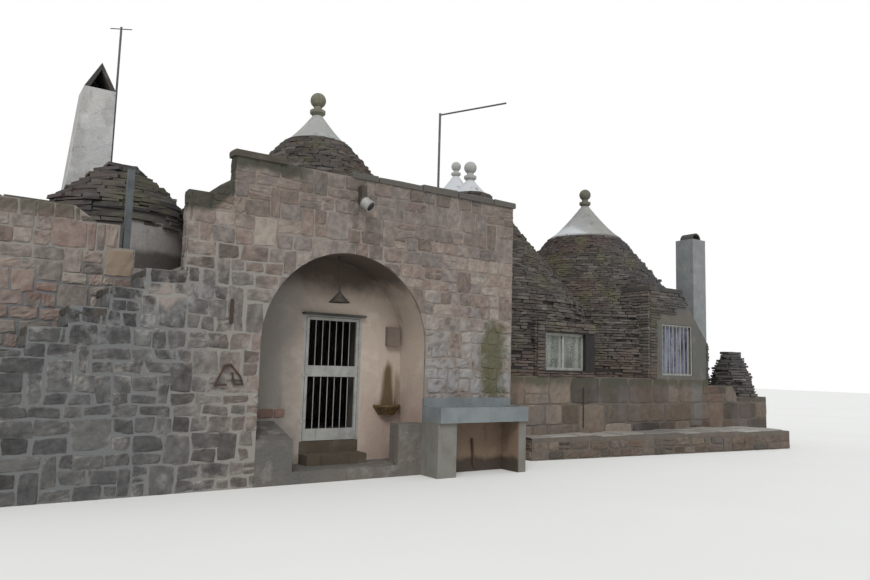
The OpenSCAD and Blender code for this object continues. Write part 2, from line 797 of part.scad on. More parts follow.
module right_cone() place() color("dimgray")
  difference() {
    translate([right_x, wing_y, 0]) wing_shell(right_cap_r, right_cap_z);
    box(0, 0, 0, valley_x, 2 * wing_y, 3 * eaves_z);
    window_cuts();
    dormer_body(e);
    dormer_slab_body();
  }
module dormer() place() color("wheat")
  difference() {
    dormer_body();
    window_cuts();
  }
module dormer_slab_body()
  box(dormer_x0 - 40, wing_front - 40, dormer_h, dormer_top_x,
    wing_front + dormer_d, dormer_h + dormer_slab);
module dormer_roof() place() color("dimgray") dormer_slab_body();
// Window frame with a row of lights
module window_frame(x, z, w, h, set, lights) {
  light_w = (w - win_frame_w) / lights;
  difference() {
    box(x, wing_front + set, z, x + w, wing_front + set + win_frame_d,
      z + h);
    for (i = [0:lights - 1])
      box(x + win_frame_w + i * light_w, 0, z + win_frame_w,
        x + (i + 1) * light_w, wing_y, z + h - win_frame_w);
  }
}
module window_frames() place() color("white") {
  window_frame(small_win_x, small_win_z, small_win_w, small_win_h,
    small_win_set, 2);
  window_frame(large_win_x, large_win_z, large_win_w, large_win_h,
    large_win_set, 1);
}
module wall_bench() place() color("lightgray")
  linear_extrude(height = bench_h)
    polygon([[bench_x0, wing_front], [bench_x0, wing_front - bench_d0],
      [bench_x1, wing_front - bench_d1], [bench_x1, wing_front]]);
module annex_base() place() color("tan")
  box(wing_x1, wing_front + wing_wall_t, 0, annex_end,
    right_stack_y - right_stack / 2, annex_low_h);
module annex_cone() place() color("dimgray")
  difference() {
    translate([pile_x, pile_y, annex_low_h]) rotate_extrude()
      polygon([[0, 0], [pile_r, 0], [0.9 * pile_r, 0.25 * pile_h],
        [0.7 * pile_r, 0.6 * pile_h], [0.35 * pile_r, pile_h],
        [0, pile_h]]);
    box(0, wing_front + wing_wall_t, 0, wing_x1, wing_rear, wing_wall_h);
  }
module rear_walls() place() color("tan")
  difference() {
    box(rear_x - rear_r, wing_rear, 0, rear_x + rear_r, rear_y + rear_r,
      eaves_z);
    box(rear_x - rear_room_r, 0, -e, rear_x + rear_room_r,
      rear_y + rear_room_r, eaves_z + e);
  }
module rear_cone() place() color("dimgray")
  difference() {
    translate([rear_x, rear_y, 0]) rotate_extrude()
      polygon(concat([[rear_r, eaves_z],
        [rear_r - rear_batter, rear_eaves_z]],
        courses(rear_r - rear_batter, rear_eaves_z, rear_cap_r,
          rear_cap_z, course_h, 1),
        [[0, rear_cap_z]],
        vault(rear_room_r, rear_eaves_z - vault_drop,
          rear_cap_z - shell_t),
        [[rear_room_r, eaves_z]]));
    translate([middle_x, wing_y, 0]) rotate_extrude()
      polygon(concat([[0, 0], [drum_r + seat, 0]],
        wing_outline(middle_cap_r, middle_cap_z, seat),
        [[0, middle_cap_z]]));
    translate([right_x, wing_y, 0]) rotate_extrude()
      polygon(concat([[0, 0], [drum_r + seat, 0]],
        wing_outline(right_cap_r, right_cap_z, seat),
        [[0, right_cap_z]]));
  }
module lamps() place() color("gray") {
  translate([0, niche_d / 2, niche_spring + niche_r - lamp_drop])
    rotate_extrude()
      polygon([[0, 0], [lamp_r, 0], [lamp_r * 0.86, 20],
        [lamp_r * 0.5, 90], [30, 160], [12, 200], [12, lamp_drop - 40],
        [rose_r, lamp_drop - 25], [rose_r, lamp_drop - rose_gap],
        [0, lamp_drop - rose_gap]]);
  translate([flood_x, -flood_y, block_h - flood_down]) {
    rotate([flood_dip, 0, flood_turn])
      cylinder(d = flood_dia, h = flood_l, center = true);
    box(-arm_w, 0, flood_dia / 3, 0, flood_y, flood_dia / 3 + arm_h);
  }
}
// Half-round bowl on the wall of the niche
module wall_bowl() place() color("gray")
  intersection() {
    translate([bowl_x, niche_d, bowl_z]) rotate_extrude()
      polygon([[0, 0], [bowl_r * 0.6, 0], [bowl_r, bowl_h - 30],
        [bowl_r, bowl_h], [bowl_r - 30, bowl_h],
        [bowl_r * 0.5, 40], [0, 40]]);
    box(bowl_x - 2 * bowl_r, niche_d - 2 * bowl_r, bowl_z - e,
      bowl_x + 2 * bowl_r, niche_d, bowl_z + bowl_h + e);
  }
module meter_box() place() color("gray")
  box(meter_x, niche_d - meter_d, meter_z, meter_x + meter_w, niche_d,
    meter_z + meter_h);

facade_piers();
facade_upper();
niche_back_sides();
niche_back_over();
block_side_walls();
block_rear_wall();
block_roof();
coping();
floors();
niche_floor();
threshold();
niche_benches();
door_frame();
door_leaf();
sink_basin();
sink_supports();
facade_shoulder();
stair();
stair_treads();
left_front_wall();
left_side_wall();
left_rear_wall();
left_drum();
left_cone();
chimneys();
chimney_cowls();
masts();
main_cone();
caps();
finials();
right_front_wall();
right_rear_wall();
right_cross_walls();
middle_cone();
right_cone();
dormer();
dormer_roof();
window_frames();
wall_bench();
annex_base();
annex_cone();
rear_walls();
rear_cone();
lamps();
wall_bowl();
meter_box();
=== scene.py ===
import json
import math
import random
import bpy
import numpy as np
from mathutils import Matrix, Vector


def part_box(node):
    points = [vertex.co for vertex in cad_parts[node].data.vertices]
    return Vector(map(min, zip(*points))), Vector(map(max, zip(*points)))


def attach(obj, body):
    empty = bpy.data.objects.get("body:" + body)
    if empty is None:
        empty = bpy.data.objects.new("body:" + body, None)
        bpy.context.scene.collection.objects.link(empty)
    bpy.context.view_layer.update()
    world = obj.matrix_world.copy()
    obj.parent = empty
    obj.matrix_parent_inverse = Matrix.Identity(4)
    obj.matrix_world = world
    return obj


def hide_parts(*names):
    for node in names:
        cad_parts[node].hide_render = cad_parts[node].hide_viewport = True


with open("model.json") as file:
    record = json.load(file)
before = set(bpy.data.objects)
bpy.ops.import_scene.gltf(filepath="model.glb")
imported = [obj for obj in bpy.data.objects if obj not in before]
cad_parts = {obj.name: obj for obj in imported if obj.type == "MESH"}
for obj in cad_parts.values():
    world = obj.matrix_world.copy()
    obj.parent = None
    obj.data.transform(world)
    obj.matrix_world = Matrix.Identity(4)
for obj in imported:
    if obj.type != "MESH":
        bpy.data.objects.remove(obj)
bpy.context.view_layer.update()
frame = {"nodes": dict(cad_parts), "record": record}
nodes = frame["nodes"]
print("frame loaded:", len(nodes), "nodes")

# places read from the frame
facadeLo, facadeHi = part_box("facade_upper")
facadeY, nicheBackY = facadeLo.y, facadeHi.y
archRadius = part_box("niche_floor")[1].x
copingLo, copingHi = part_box("coping")
parapetY = copingHi.y - 0.04
sinkLo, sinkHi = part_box("sink_supports")
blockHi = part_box("block_side_walls")[1]
stairLo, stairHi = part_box("stair")
shoulderLo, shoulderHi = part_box("facade_shoulder")
leftLo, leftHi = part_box("left_front_wall")
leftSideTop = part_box("left_side_wall")[1].z
leftBackLo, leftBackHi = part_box("left_rear_wall")
wingLo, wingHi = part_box("right_front_wall")
wingBackLo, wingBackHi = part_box("right_rear_wall")
rearLo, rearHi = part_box("rear_walls")
dormerLo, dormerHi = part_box("dormer")
benchLo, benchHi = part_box("wall_bench")
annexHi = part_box("annex_base")[1]
smallLo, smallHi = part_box("left_cone")
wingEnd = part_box("right_cross_walls")[1].x
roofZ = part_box("block_roof")[1].z
stairTop = stairHi.z
wallTop = 1.65

# the shoulder beside the facade: height of its step, width of its slope
shoulder = {"top": 4.18, "slope": 0.345}


def tint(code):
    # a screen colour in hex digits, made linear
    channels = [int(code[k:k + 2], 16) / 255 for k in (0, 2, 4)]
    return tuple(((c + 0.055) / 1.055) ** 2.4 for c in channels) + (1.0,)


def clearSelection():
    if bpy.context.object and bpy.context.object.mode != "OBJECT":
        bpy.ops.object.mode_set(mode="OBJECT")
    bpy.ops.object.select_all(action="DESELECT")


def addShape(operator, **settings):
    clearSelection()
    operator(**settings)
    return bpy.context.object


def joinPieces(objects):
    clearSelection()
    for obj in objects:
        obj.select_set(True)
    bpy.context.view_layer.objects.active = objects[0]
    if len(objects) > 1:
        bpy.ops.object.join()
    bpy.ops.object.transform_apply(location=True, rotation=True, scale=True)
    return bpy.context.object


def finishPiece(objects, name, finish):
    obj = joinPieces(objects)
    obj.name = name
    obj.data.name = name
    obj.data.materials.clear()
    obj.data.materials.append(finishes[finish])
    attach(obj, "house")


class Wire:
    # one socket of a node tree, on which sums can be written
    def __init__(self, tree, socket):
        self.tree = tree
        self.socket = socket

    def sum(self, operation, other):
        return self.tree.node("Math", {"operation": operation}, {0: self, 1: other})

    def __add__(self, other):
        return self.sum("ADD", other)

    def __sub__(self, other):
        return self.sum("SUBTRACT", other)

    def __mul__(self, other):
        return self.sum("MULTIPLY", other)


class Tree:
    def __init__(self, owner):
        owner.use_nodes = True
        self.nodes = owner.node_tree.nodes
        self.links = owner.node_tree.links
        self.nodes.clear()

    def node(self, kind, settings=None, inputs=None, out=0):
        node = self.nodes.new("ShaderNode" + kind)
        for key, value in (settings or {}).items():
            setattr(node, key, value)
        for key, value in (inputs or {}).items():
            if isinstance(value, Wire):
                self.links.new(value.socket, node.inputs[key])
            else:
                node.inputs[key].default_value = value
        return Wire(self, node.outputs[out]) if node.outputs else None


class Finish(Tree):
    def __init__(self, name, look, mainHues=()):
        # look["main"] lists the colours that each finish of a kind has
        self.material = bpy.data.materials.new(name)
        super().__init__(self.material)
        look.update(zip(mainHues, look.pop("main", "").split()))
        self.look = {key: tint(value) if isinstance(value, str) else value
                     for key, value in look.items()}
        self.place = self.node("TexCoord", out="Object")
        self.x, self.y, self.z = self.split(self.place, "XYZ")

    def noise(self, scale, detail=4.0, stretch=None):
        where = self.place
        if stretch:
            where = self.node("Mapping", {}, {"Vector": where, "Scale": stretch})
        return self.node("TexNoise", {}, {"Vector": where, "Scale": scale,
                         "Detail": detail, "Roughness": 0.6})

    def step(self, value, low, high):
        # 0 under low, 1 over high, smooth between them
        return self.node("MapRange", {"interpolation_type": "SMOOTHSTEP"},
                         {"Value": value, "From Min": low, "From Max": high})

    def distance(self, value, other):
        return self.node("Math", {"operation": "ABSOLUTE"}, {0: value - other})

    def near(self, value, middle, outer, inner):
        # 1 within inner of the middle, 0 beyond outer
        return self.step(self.distance(value, middle), outer, inner)

    def mix(self, factor, first, second, blend="MIX"):
        return self.node("Mix", {"data_type": "RGBA", "blend_type": blend},
                         {0: factor, 6: first, 7: second}, out=2)

    def lay(self, factor, hue):
        # a colour of the look laid over what is there
        self.colour = self.mix(factor, self.colour, self.look[hue])

    def ramp(self, value, stops):
        node = self.nodes.new("ShaderNodeValToRGB")
        elements = node.color_ramp.elements
        elements.new(0.5)
        for element, (position, hue) in zip(elements, stops):
            element.position = position
            element.color = self.look[hue]
        self.links.new(value.socket, node.inputs[0])
        return Wire(self, node.outputs[0])

    def split(self, value, kind):
        node = self.nodes.new("ShaderNodeSeparate" + kind)
        self.links.new(value.socket, node.inputs[0])
        return [Wire(self, output) for output in node.outputs]

    def finish(self, height=None):
        inputs = {"Base Color": self.colour, "Roughness": self.look["rough"],
                  "Metallic": self.look.get("metallic", 0.0)}
        if height:
            inputs["Normal"] = self.node("Bump", {}, {
                "Height": height, "Distance": self.look["bump"], "Strength": 1.0})
        surface = self.node("BsdfPrincipled", {}, inputs)
        self.node("OutputMaterial", {}, {0: surface})
        return self.material


def topGrowth(f, rough):
    # black growth along the block's top left corner and down the shoulder
    top = f.step(f.z + rough * 0.5, 4.78, 4.95) * f.step(f.x + rough * 0.5, -0.4, -0.8)
    line = f.step(f.x, shoulderHi.x - shoulder["slope"], shoulderHi.x)
    line = line * (shoulderHi.z - shoulder["top"]) + 4.1
    slope = f.step(f.z + rough * 0.2 - line, -0.14, -0.02)
    slope = slope * f.step(f.x, shoulderHi.x + 0.01, shoulderHi.x - 0.01)
    return top + slope * f.step(f.x, shoulderLo.x - 0.1, shoulderLo.x - 0.05)


def facadeBelow(f, cool, mottle, broad):
    # the stair's stones are cool, with lime wiped over them
    left = f.step(f.x + broad * 2, 0.4, -2.0) * f.step(f.z + mottle * 0.8, 4.2, 3.0)
    f.colour = f.mix(left, f.colour, f.mix(1.0, cool, (0.42, 0.48, 0.53, 1), "MULTIPLY"))
    wiped = left * f.step(f.noise(3.6, 6) + mottle * 0.4, 0.67, 0.93)
    f.lay(wiped * f.step(f.z, 0.6, 2.6) * 0.6, "wash")


def facadeLime(f, mottle, patches):
    # blue-grey lime left between the niche and the sink, and some under the landing
    wash = f.step(f.x + patches * 0.8, 1.4, 1.9) * f.step(f.z + patches * 1.2, 3.8, 2.4)
    f.lay(wash * f.step(mottle + patches, 0.75, 1.15) * 0.7, "wash")
    spot = f.distance(f.x, -2.82) * 0.8 + f.distance(f.z, 2.66) + patches * 0.5
    f.lay(f.step(spot, 0.52, 0.36) * 0.75, "pale")


def facadeAbove(f, mottle, patches):
    # one green run at the facade's right end
    run = f.step(f.distance(f.x, 2.9) + patches * 0.5 + mottle * 0.2, 0.76, 0.5)
    run = run * f.step(f.distance(f.z, 1.9) + mottle * 0.5, 1.05, 0.75)
    f.lay(run * f.step(f.y, facadeY + 0.3, facadeY + 0.1) * 0.8, "moss")
    # darker upwards, with growth along the top and under the floodlight
    f.lay(f.step(f.z + patches, 3.9, 5.2) * 0.35, "stainColour")
    top = topGrowth(f, patches)
    drip = f.step(f.distance(f.x, 0.03) + mottle * 0.06, 0.13, 0.05)
    drip = drip * f.step(f.distance(f.z, 3.95) + mottle * 0.2, 0.5, 0.3)
    f.lay(top * 0.9 + drip * 0.4, "growth")


def roofColours(f, patches):
    # reddish at the foot, yellow in the middle, painted bluish shade at both ends
    foot = f.step(f.z + patches, 2.9, 2.3)
    f.lay((f.step(f.noise(1.1, 4), 0.5, 0.64) + foot) * 0.4, "reddish")
    f.lay(f.step(f.noise(1.5, 5, stretch=(1, 1, 0.8)), 0.52, 0.64) * 0.5, "lichen")
    # painted shade: both ends of the roofs are tinted a shaded blue
    ends = f.step(f.x + patches * 2, 9.6, 11.2) + f.step(f.x, -1.5, -2.0) * 0.35
    f.lay(ends * 0.45, "bluish")


def wingColours(f, patches):
    # reddish and lilac stones, a whitish strip, and moss along the top
    blush = f.noise(0.8, 3, stretch=(1, 1, 0.5))
    f.lay(f.step(blush, 0.5, 0.62) * 0.4, "reddish")
    f.lay(f.step(blush, 0.46, 0.36) * 0.4, "lilac")
    strip = f.step(f.distance(f.x, 10.3) + patches * 0.3, 0.42, 0.3)
    strip = strip * f.step(f.y, 0.9, 0.8) * f.step(f.z, 0.48, 0.55)
    f.lay(strip * 0.75, "strip")
    f.lay(f.step(f.z + patches * 0.5, 1.62, 1.8) * 0.75, "stainColour")


def leftColours(f, patches):
    # one fresh block at the end of the wall, one red patch lower down, growth on top
    block = f.near(f.x, -3.27, 0.2, 0.18) * f.near(f.z, 3.16, 0.24, 0.22)
    f.lay(block * 0.75, "amber")
    red = f.near(f.x, -4.25, 0.2, 0.1) * f.near(f.z, 2.65, 0.14, 0.06)
    f.lay(red * 0.6, "red")
    f.lay(f.step(f.z + patches * 0.3, 3.78, 3.95) * 0.7, "growth")


def copingColours(f):
    # greyer towards the right
    worn = f.step(f.x, -0.4, 0.1) * f.step(f.z, 4.6, 4.7)
    f.lay(worn * f.step(f.y, facadeY + 0.5, facadeY + 0.4) * 0.7, "bleached")


def stoneFinish(name, look):
    # "tone" carries lightness, hue and nearness to lime
    f = Finish(name, dict({"smear": 0.25, "limeMix": 0.6, "stain": 0.5, "mottle": 9, "depth": 0.5,
                           "bump": 0.02, "lime": "a29b93", "rough": 0.92}, **look),
               ("dark", "mid", "warm", "pale"))
    look = f.look
    tone = f.node("Attribute", {"attribute_name": "tone"}, out="Color")
    light, hue, lime = f.split(tone, "Color")
    broad = f.noise(0.7, 3)
    mottle = f.noise(look["mottle"], 5)
    patches = f.noise(2.2, 5)
    grain = f.noise(70, 4)
    shade = light * 0.75 + mottle * look["depth"] + 0.13 - look["depth"] / 2
    cool = f.ramp(shade, [(0.05, "dark"), (0.45, "mid"), (0.85, "pale")])
    warm = f.ramp(shade, [(0.05, "dark"), (0.5, "warm"), (0.9, "pale")])
    f.colour = f.mix(f.step(hue + broad * 0.5, 0.45, 1.0), cool, warm)
    if "moss" in look:
        facadeBelow(f, cool, mottle, broad)
    smear = f.step(lime * look["smear"] + mottle * 0.6 + patches, 0.93, 1.38)
    f.lay(smear * look["limeMix"], "lime")
    if "lichen" in look:
        roofColours(f, patches)
    if "lilac" in look:
        wingColours(f, patches)
    if "moss" in look:
        facadeLime(f, mottle, patches)
    stain = f.step(f.noise(2.6, 6) + f.noise(0.45, 2) * 0.5, 0.80, 1.02)
    f.lay(stain * look["stain"], "stainColour")
    if "moss" in look:
        facadeAbove(f, mottle, patches)
    if "bleached" in look:
        copingColours(f)
    if "amber" in look:
        leftColours(f, patches)
    f.lay(f.step(grain, 0.56, 0.74) * 0.3, "dark")
    return f.finish(mottle * 0.6 + grain * 0.35)


def mortarColours(f, patch):
    # pointing outside is limy low down on the left, cool on the stair wall
    x, y, z = f.x, f.y, f.z
    limy = f.step(z + patch * 0.5, 4.6, 3.4) * f.step(x + patch * 0.6, 2.2, 0.4)
    f.lay(limy * 0.8, "limy")
    stair = f.step(x + patch, -1.2, -2.8) * f.step(z + patch, 3.9, 3.2)
    f.lay(stair * 0.85, "stair")
    spot = f.distance(x, -2.82) * 0.8 + f.distance(z, 2.66) + patch * 0.5
    f.lay(f.step(spot, 0.6, 0.4), "limy")
    f.lay(topGrowth(f, patch) * 0.9, "growth")
    green = f.step(f.distance(x, 2.9) + patch * 0.5, 0.6, 0.35)
    f.lay(green * f.step(f.distance(z, 1.9) + patch * 0.4, 1.05, 0.75) * 0.7, "moss")
    outside = f.colour
    # plaster in the niche: sooty and in painted shade at the arch's top, pink low down, ochre above
    # the bowl
    f.colour = f.look["niche"]
    f.lay(f.step(patch, 0.5, 0.7) * f.look["patch"], "nichePale")
    f.lay(f.step(x + patch * 0.6, 0.4, -0.7) * 0.8, "nicheGrey")
    # darker towards the arch's top: sooty, with painted shade in the vault
    f.lay(f.step(z + patch * 0.5 + f.distance(x, 0.25) * -0.12, 2.98, 3.5) * 0.9, "soot")
    pink = f.step(x + patch * 0.7, 0.9, 1.3) * f.step(z + patch * 0.6, 2.1, 1.2)
    f.lay(pink * 0.45, "pink")
    streak = f.noise(9, 4, stretch=(1, 1, 0.1))
    low = f.step(z, 0.98, 1.05)
    run = f.step(f.distance(x, 1.2) + streak * 0.1 + z * 0.1, 0.36, 0.25)
    run = run * low * f.step(z + streak * 0.4, 2.1, 1.9)
    side = f.step(f.distance(x, 1.4) + streak * 0.08, 0.12, 0.06)
    side = side * low * f.step(z + streak * 0.4, 1.95, 1.7)
    side = side * f.step(y, nicheBackY - 0.04, nicheBackY - 0.02)
    f.lay(run * 0.9 + side * 0.6, "ochre")
    # painted shade: the passage behind the door is painted dark
    passageShade = f.step(y, nicheBackY, nicheBackY + 0.05) * f.step(z, 2.8, 2.6)
    f.lay(passageShade * f.near(x, 0.1, 0.9, 0.7) * 0.85, "inside")
    inside = f.step(y, facadeY + 0.01, facadeY + 0.05)
    inside = inside * f.near(x, 0, archRadius + 0.2, archRadius + 0.1)
    f.colour = f.mix(inside, outside, f.colour)


def plasterFinish(name, look):
    f = Finish(name, dict({"patch": 0.5, "runs": 0.7, "bump": 0.03, "rough": 0.9}, **look),
               ("base", "warm", "pale", "dirt"))
    look = f.look
    broad = f.noise(0.9, 4)
    patch = f.noise(3.2, 6)
    grain = f.noise(42, 5)
    f.colour = look["base"]
    f.lay(f.step(broad, 0.35, 0.68), "warm")
    f.lay(f.step(patch, 0.52, 0.72) * look["patch"], "pale")
    if "niche" in look:
        mortarColours(f, patch)
    if "foot" in look:
        low = f.step(f.z + patch * 0.2, look["footTo"] + 0.12, look["footTo"])
        f.lay(low * f.step(f.z, look["footTo"] - 0.7, look["footTo"] - 0.6) * 0.8, "foot")
    if "bare" in look:
        # the drum is unplastered stone left of the post, with painted shadow under the eaves
        bare = f.step(f.x + grain * 0.05, -2.94, -3.0)
        bare = bare + f.step(f.z + patch * 0.1, smallLo.z - 0.14, smallLo.z - 0.08)
        f.lay(bare * 0.8, "bare")
    if "aged" in look:
        # stained and cracked, and the right chimney has lost most of its lime
        f.lay(f.step(f.noise(2.4, 6, stretch=(1, 1, 0.6)), 0.5, 0.62) * 0.45, "stain")
        crack = f.near(f.noise(1.3, 7, stretch=(1, 1, 1.6)), 0.5, 0.008, 0.002)
        f.lay(crack * 0.5, "dirt")
        right = f.step(f.x, 5, 6)
        f.lay(right * 0.75 + right * f.step(patch + broad * 0.5, 0.5, 0.9) * 0.2, "aged")
    if "far" in look:
        # the two farther caps and balls are bleached, the right one is dirty
        f.lay(f.near(f.x, 6.8, 2.1, 1.9) * 0.75, "far")
        f.lay(f.step(f.x, 8.9, 9.2) * 0.3, "dirt")
    runs = f.noise(5, 6, stretch=(1, 1, 0.12))
    f.lay(f.step(runs, 0.54, 0.74) * look["runs"], "dirt")
    f.lay(f.step(grain, 0.55, 0.75) * 0.25, "dirt")
    return f.finish(patch * 0.7 + grain * 0.25)


def paintFinish(name, look):
    # paint or metal with rust or stains creeping through
    f = Finish(name, dict({"rough": 0.6, "scale": 6, "rustFrom": 0.56, "bump": 0.004}, **look),
               ("base", "second", "rust"))
    look = f.look
    patch = f.noise(look["scale"], 6)
    fine = f.noise(55, 4)
    runs = f.noise(7, 5, stretch=(1, 1, 0.1))
    f.colour = look["base"]
    f.lay(f.step(patch, 0.35, 0.7), "second")
    rust = runs * 0.6 + fine * 0.5
    f.lay(f.step(rust, look["rustFrom"], look["rustFrom"] + 0.12), "rust")
    return f.finish(fine * 0.3 + patch * 0.3)


stoneLooks = {
    "facadeStone": dict(main="4e4742 746b66 7c6c63 988d83", limeMix=0.75, stain=0.4, depth=1.1,
        stainColour="58524c", moss="484626", growth="3a3a30", wash="8e8f8f"),
    "leftStone": dict(main="504a45 726b65 806e66 988d83", stain=0.4, depth=1.0,
        stainColour="56524c", amber="897966", red="705046", growth="46463a"),
    "stairStone": dict(main="3e3d3c 626261 6c6763 92908c", smear=0.4, limeMix=0.85,
        stainColour="4a4846", lime="969693"),
    "wallStone": dict(main="36312c 564e46 625448 867a6e", stain=0.6, stainColour="424234",
        strip="6a6865", reddish="705246", lilac="686062"),
    "roofStone": dict(main="2f2c2b 4e4946 564d46 726c67", smear=0.0, limeMix=0.2, stain=0.35,
        stainColour="545446", mottle=6, reddish="604c44", lichen="605f42", bluish="484e53"),
    "copingStone": dict(main="2a2924 44423a 4e473e 706a60", smear=0.1, limeMix=0.3, stain=0.55,
        stainColour="38392e", bleached="5e5a56"),
    "flagStone": dict(main="54514d 7c7873 847d75 a29d96", smear=0.2, limeMix=0.4,
        stainColour="5c5954"),
    "brickRed": dict(main="5a4840 6c564c 765a4f 827066", smear=0.3, limeMix=0.4, stain=0.4,
        stainColour="60544c")}
plasterLooks = {
    "limeMortar": dict(main="7c736b 82766c 968d84 58524c", patch=0.7, runs=0.4, limy="8a8680",
        # inside is painted shade for the passage behind the door
        stair="646668", inside="1e1b1a", moss="484626", niche="ae9f92", nichePale="bcafa2",
        # the colour at the arch's top is sooty plaster with painted shade
        nicheGrey="706d6a", soot="3a2d26", pink="967c72", ochre="4c3a14", growth="3a3a30"),
    "stackPlaster": dict(main="b4b4b3 bebbb6 cecdcb 787570", patch=0.7, runs=0.8, aged="747778",
        stain="98928f"),
    "benchPlaster": dict(main="5e5c58 6c655e 827d77 423f38", patch=0.9, bump=0.08),
    # the threshold is dark with dirt and with painted shade
    "soiledStep": dict(main="4e4538 3e362b 686156 28261e", runs=0.9, bump=0.04),
    "dryCore": dict(main="22201e 2c2824 3c3834 181716", runs=0.4, bump=0.04),
    "dormerPlaster": dict(main="585753 5f5b52 6e6b65 444336", patch=0.6),
    "earthMortar": dict(main="5c554e 645a50 7a7168 423e36", runs=0.5, bump=0.02),
    "drumPlaster": dict(main="949190 98928e a8a5a2 54504e", foot="3e3731", footTo=3.6,
        bare="423d39", runs=0.5),
    "limeWash": dict(main="929392 9c9a94 aeaeac 66645e", patch=0.7, runs=0.8, far="c4c6ca"),
    "finialStone": dict(main="6c6a5c 7a7462 989484 3a3a30", patch=0.6, far="b0b0ae"),
    "darkTop": dict(main="3c3b3a 48433e 686561 282624", runs=0.6),
    "recessPlaster": dict(main="746354 7c6755 867566 4c3e32", foot="28221e", footTo=0.28)}
paintLooks = {
    "whitePaint": dict(main="969591 82817b 645648", rough=0.45, rustFrom=0.66),
    "galvanised": dict(main="5a5e60 4a4e50 584e44", metallic=0.2, rustFrom=0.64),
    "sinkPaint": dict(main="787e7f 686e6f 54544e", rough=0.7, rustFrom=0.6, scale=2.5, bump=0.012),
    "rustyIron": dict(main="423228 2c251f 5a3e2c", rough=0.85, rustFrom=0.55, scale=20),
    "darkGlass": dict(main="181a1e 282a2e 5a5c5e", rough=0.15, rustFrom=0.66, bump=0.001),
    "clayBowl": dict(main="584424 3a2c1a 6c542a", rough=0.8, rustFrom=0.55, scale=9, bump=0.01),
    "lampIron": dict(main="3e3933 2c2824 4e3e30", bump=0.003),
    "supportPaint": dict(main="787670 6c6760 585348", rough=0.8, rustFrom=0.58, scale=2.5,
        bump=0.012),
    "meterGrey": dict(main="786c63 6a5e56 544940", rough=0.7, scale=4),
    "dustyGlass": dict(main="383e3a 6a6c64 84867e", rough=0.35, rustFrom=0.52, scale=4, bump=0.002),
    # the large pane's pale blue-white patches are a painted reflection of the sky
    "skyGlass": dict(main="2e303e 707286 8c8e9e", rough=0.2, rustFrom=0.54, scale=3, bump=0.001)}

finishes = {}
for make, looks in ((stoneFinish, stoneLooks), (plasterFinish, plasterLooks),
                    (paintFinish, paintLooks)):
    for name, look in looks.items():
        finishes[name] = make(name, look)
print("finishes made")

slotFinish = {
    "plaster": "limeMortar", "stone": "limeMortar", "roof_stone": "dryCore",
    "limewash": "limeWash", "weathered_stone": "finialStone", "paving": "flagStone",
    "sink_paint": "sinkPaint", "white_paint": "whitePaint", "grey_metal": "galvanised"}
nodeFinish = {
    "dormerPlaster": ["dormer"], "drumPlaster": ["left_drum", "floors"],
    "benchPlaster": ["niche_floor", "niche_benches"], "soiledStep": ["threshold"],
    "earthMortar": ["wall_bench", "right_front_wall", "annex_base", "rear_walls",
                    "right_cross_walls", "right_rear_wall"],
    "limeMortar": ["block_roof"], "darkTop": ["dormer_roof", "chimney_cowls"],
    "clayBowl": ["wall_bowl"], "meterGrey": ["meter_box"], "supportPaint": ["sink_supports"],
    "stackPlaster": ["chimneys"], "lampIron": ["lamps"]}
chosen = {node: finish for finish, group in nodeFinish.items() for node in group}
for part in frame["record"]["subparts"]:
    name = chosen.get(part["node"], slotFinish[part["material_slot"]])
    for holder in nodes[part["node"]].material_slots:
        holder.material = finishes[name]


def readPattern(across, up, drops):
    # a small grid whose border is folded back once or twice and closed behind
    obj = addShape(bpy.ops.mesh.primitive_grid_add, x_subdivisions=across, y_subdivisions=up,
                   size=2)
    bpy.ops.object.mode_set(mode="EDIT")
    bpy.ops.mesh.select_mode(type="EDGE")
    for drop in range(drops):
        bpy.ops.mesh.select_all(action="DESELECT")
        bpy.ops.mesh.select_non_manifold()
        bpy.ops.mesh.extrude_edges_move(TRANSFORM_OT_translate={"value": (0, 0, -1)})
    bpy.ops.mesh.select_all(action="DESELECT")
    bpy.ops.mesh.select_non_manifold()
    bpy.ops.mesh.edge_face_add()
    bpy.ops.mesh.select_all(action="SELECT")
    bpy.ops.mesh.normals_make_consistent(inside=False)
    bpy.ops.object.mode_set(mode="OBJECT")
    points = np.array([tuple(v.co) for v in obj.data.vertices])
    faces = [list(p.vertices) for p in obj.data.polygons]
    bpy.data.objects.remove(obj)
    return {"points": points, "faces": faces}


finePattern = readPattern(4, 3, 2)
plainPattern = readPattern(2, 2, 2)
slabPattern = readPattern(2, 1, 1)


def layStones(name, pattern, points, tones, finish, replaced):
    # points: stones x pattern points x 3, tones: lightness, hue and lime for each point
    count, size = points.shape[:2]
    faces = []
    for k in range(count):
        faces.extend([k * size + i for i in face] for face in pattern["faces"])
    mesh = bpy.data.meshes.new(name)
    mesh.from_pydata(points.reshape(-1, 3).tolist(), [], faces)
    colours = np.ones((count * size, 4))
    colours[:, :3] = tones.reshape(-1, 3)
    attribute = mesh.attributes.new("tone", "FLOAT_COLOR", "POINT")
    attribute.data.foreach_set("color", colours.ravel())
    obj = bpy.data.objects.new(name, mesh)
    bpy.context.collection.objects.link(obj)
    print(name, count, "stones,", count * sum(len(f) - 2 for f in pattern["faces"]), "triangles")
    finishPiece([obj], name, finish)
    if replaced:
        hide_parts(*replaced)


def toneArray(light, hue, lime):
    return np.stack(np.broadcast_arrays(light[:, None], hue[:, None], lime), axis=2)


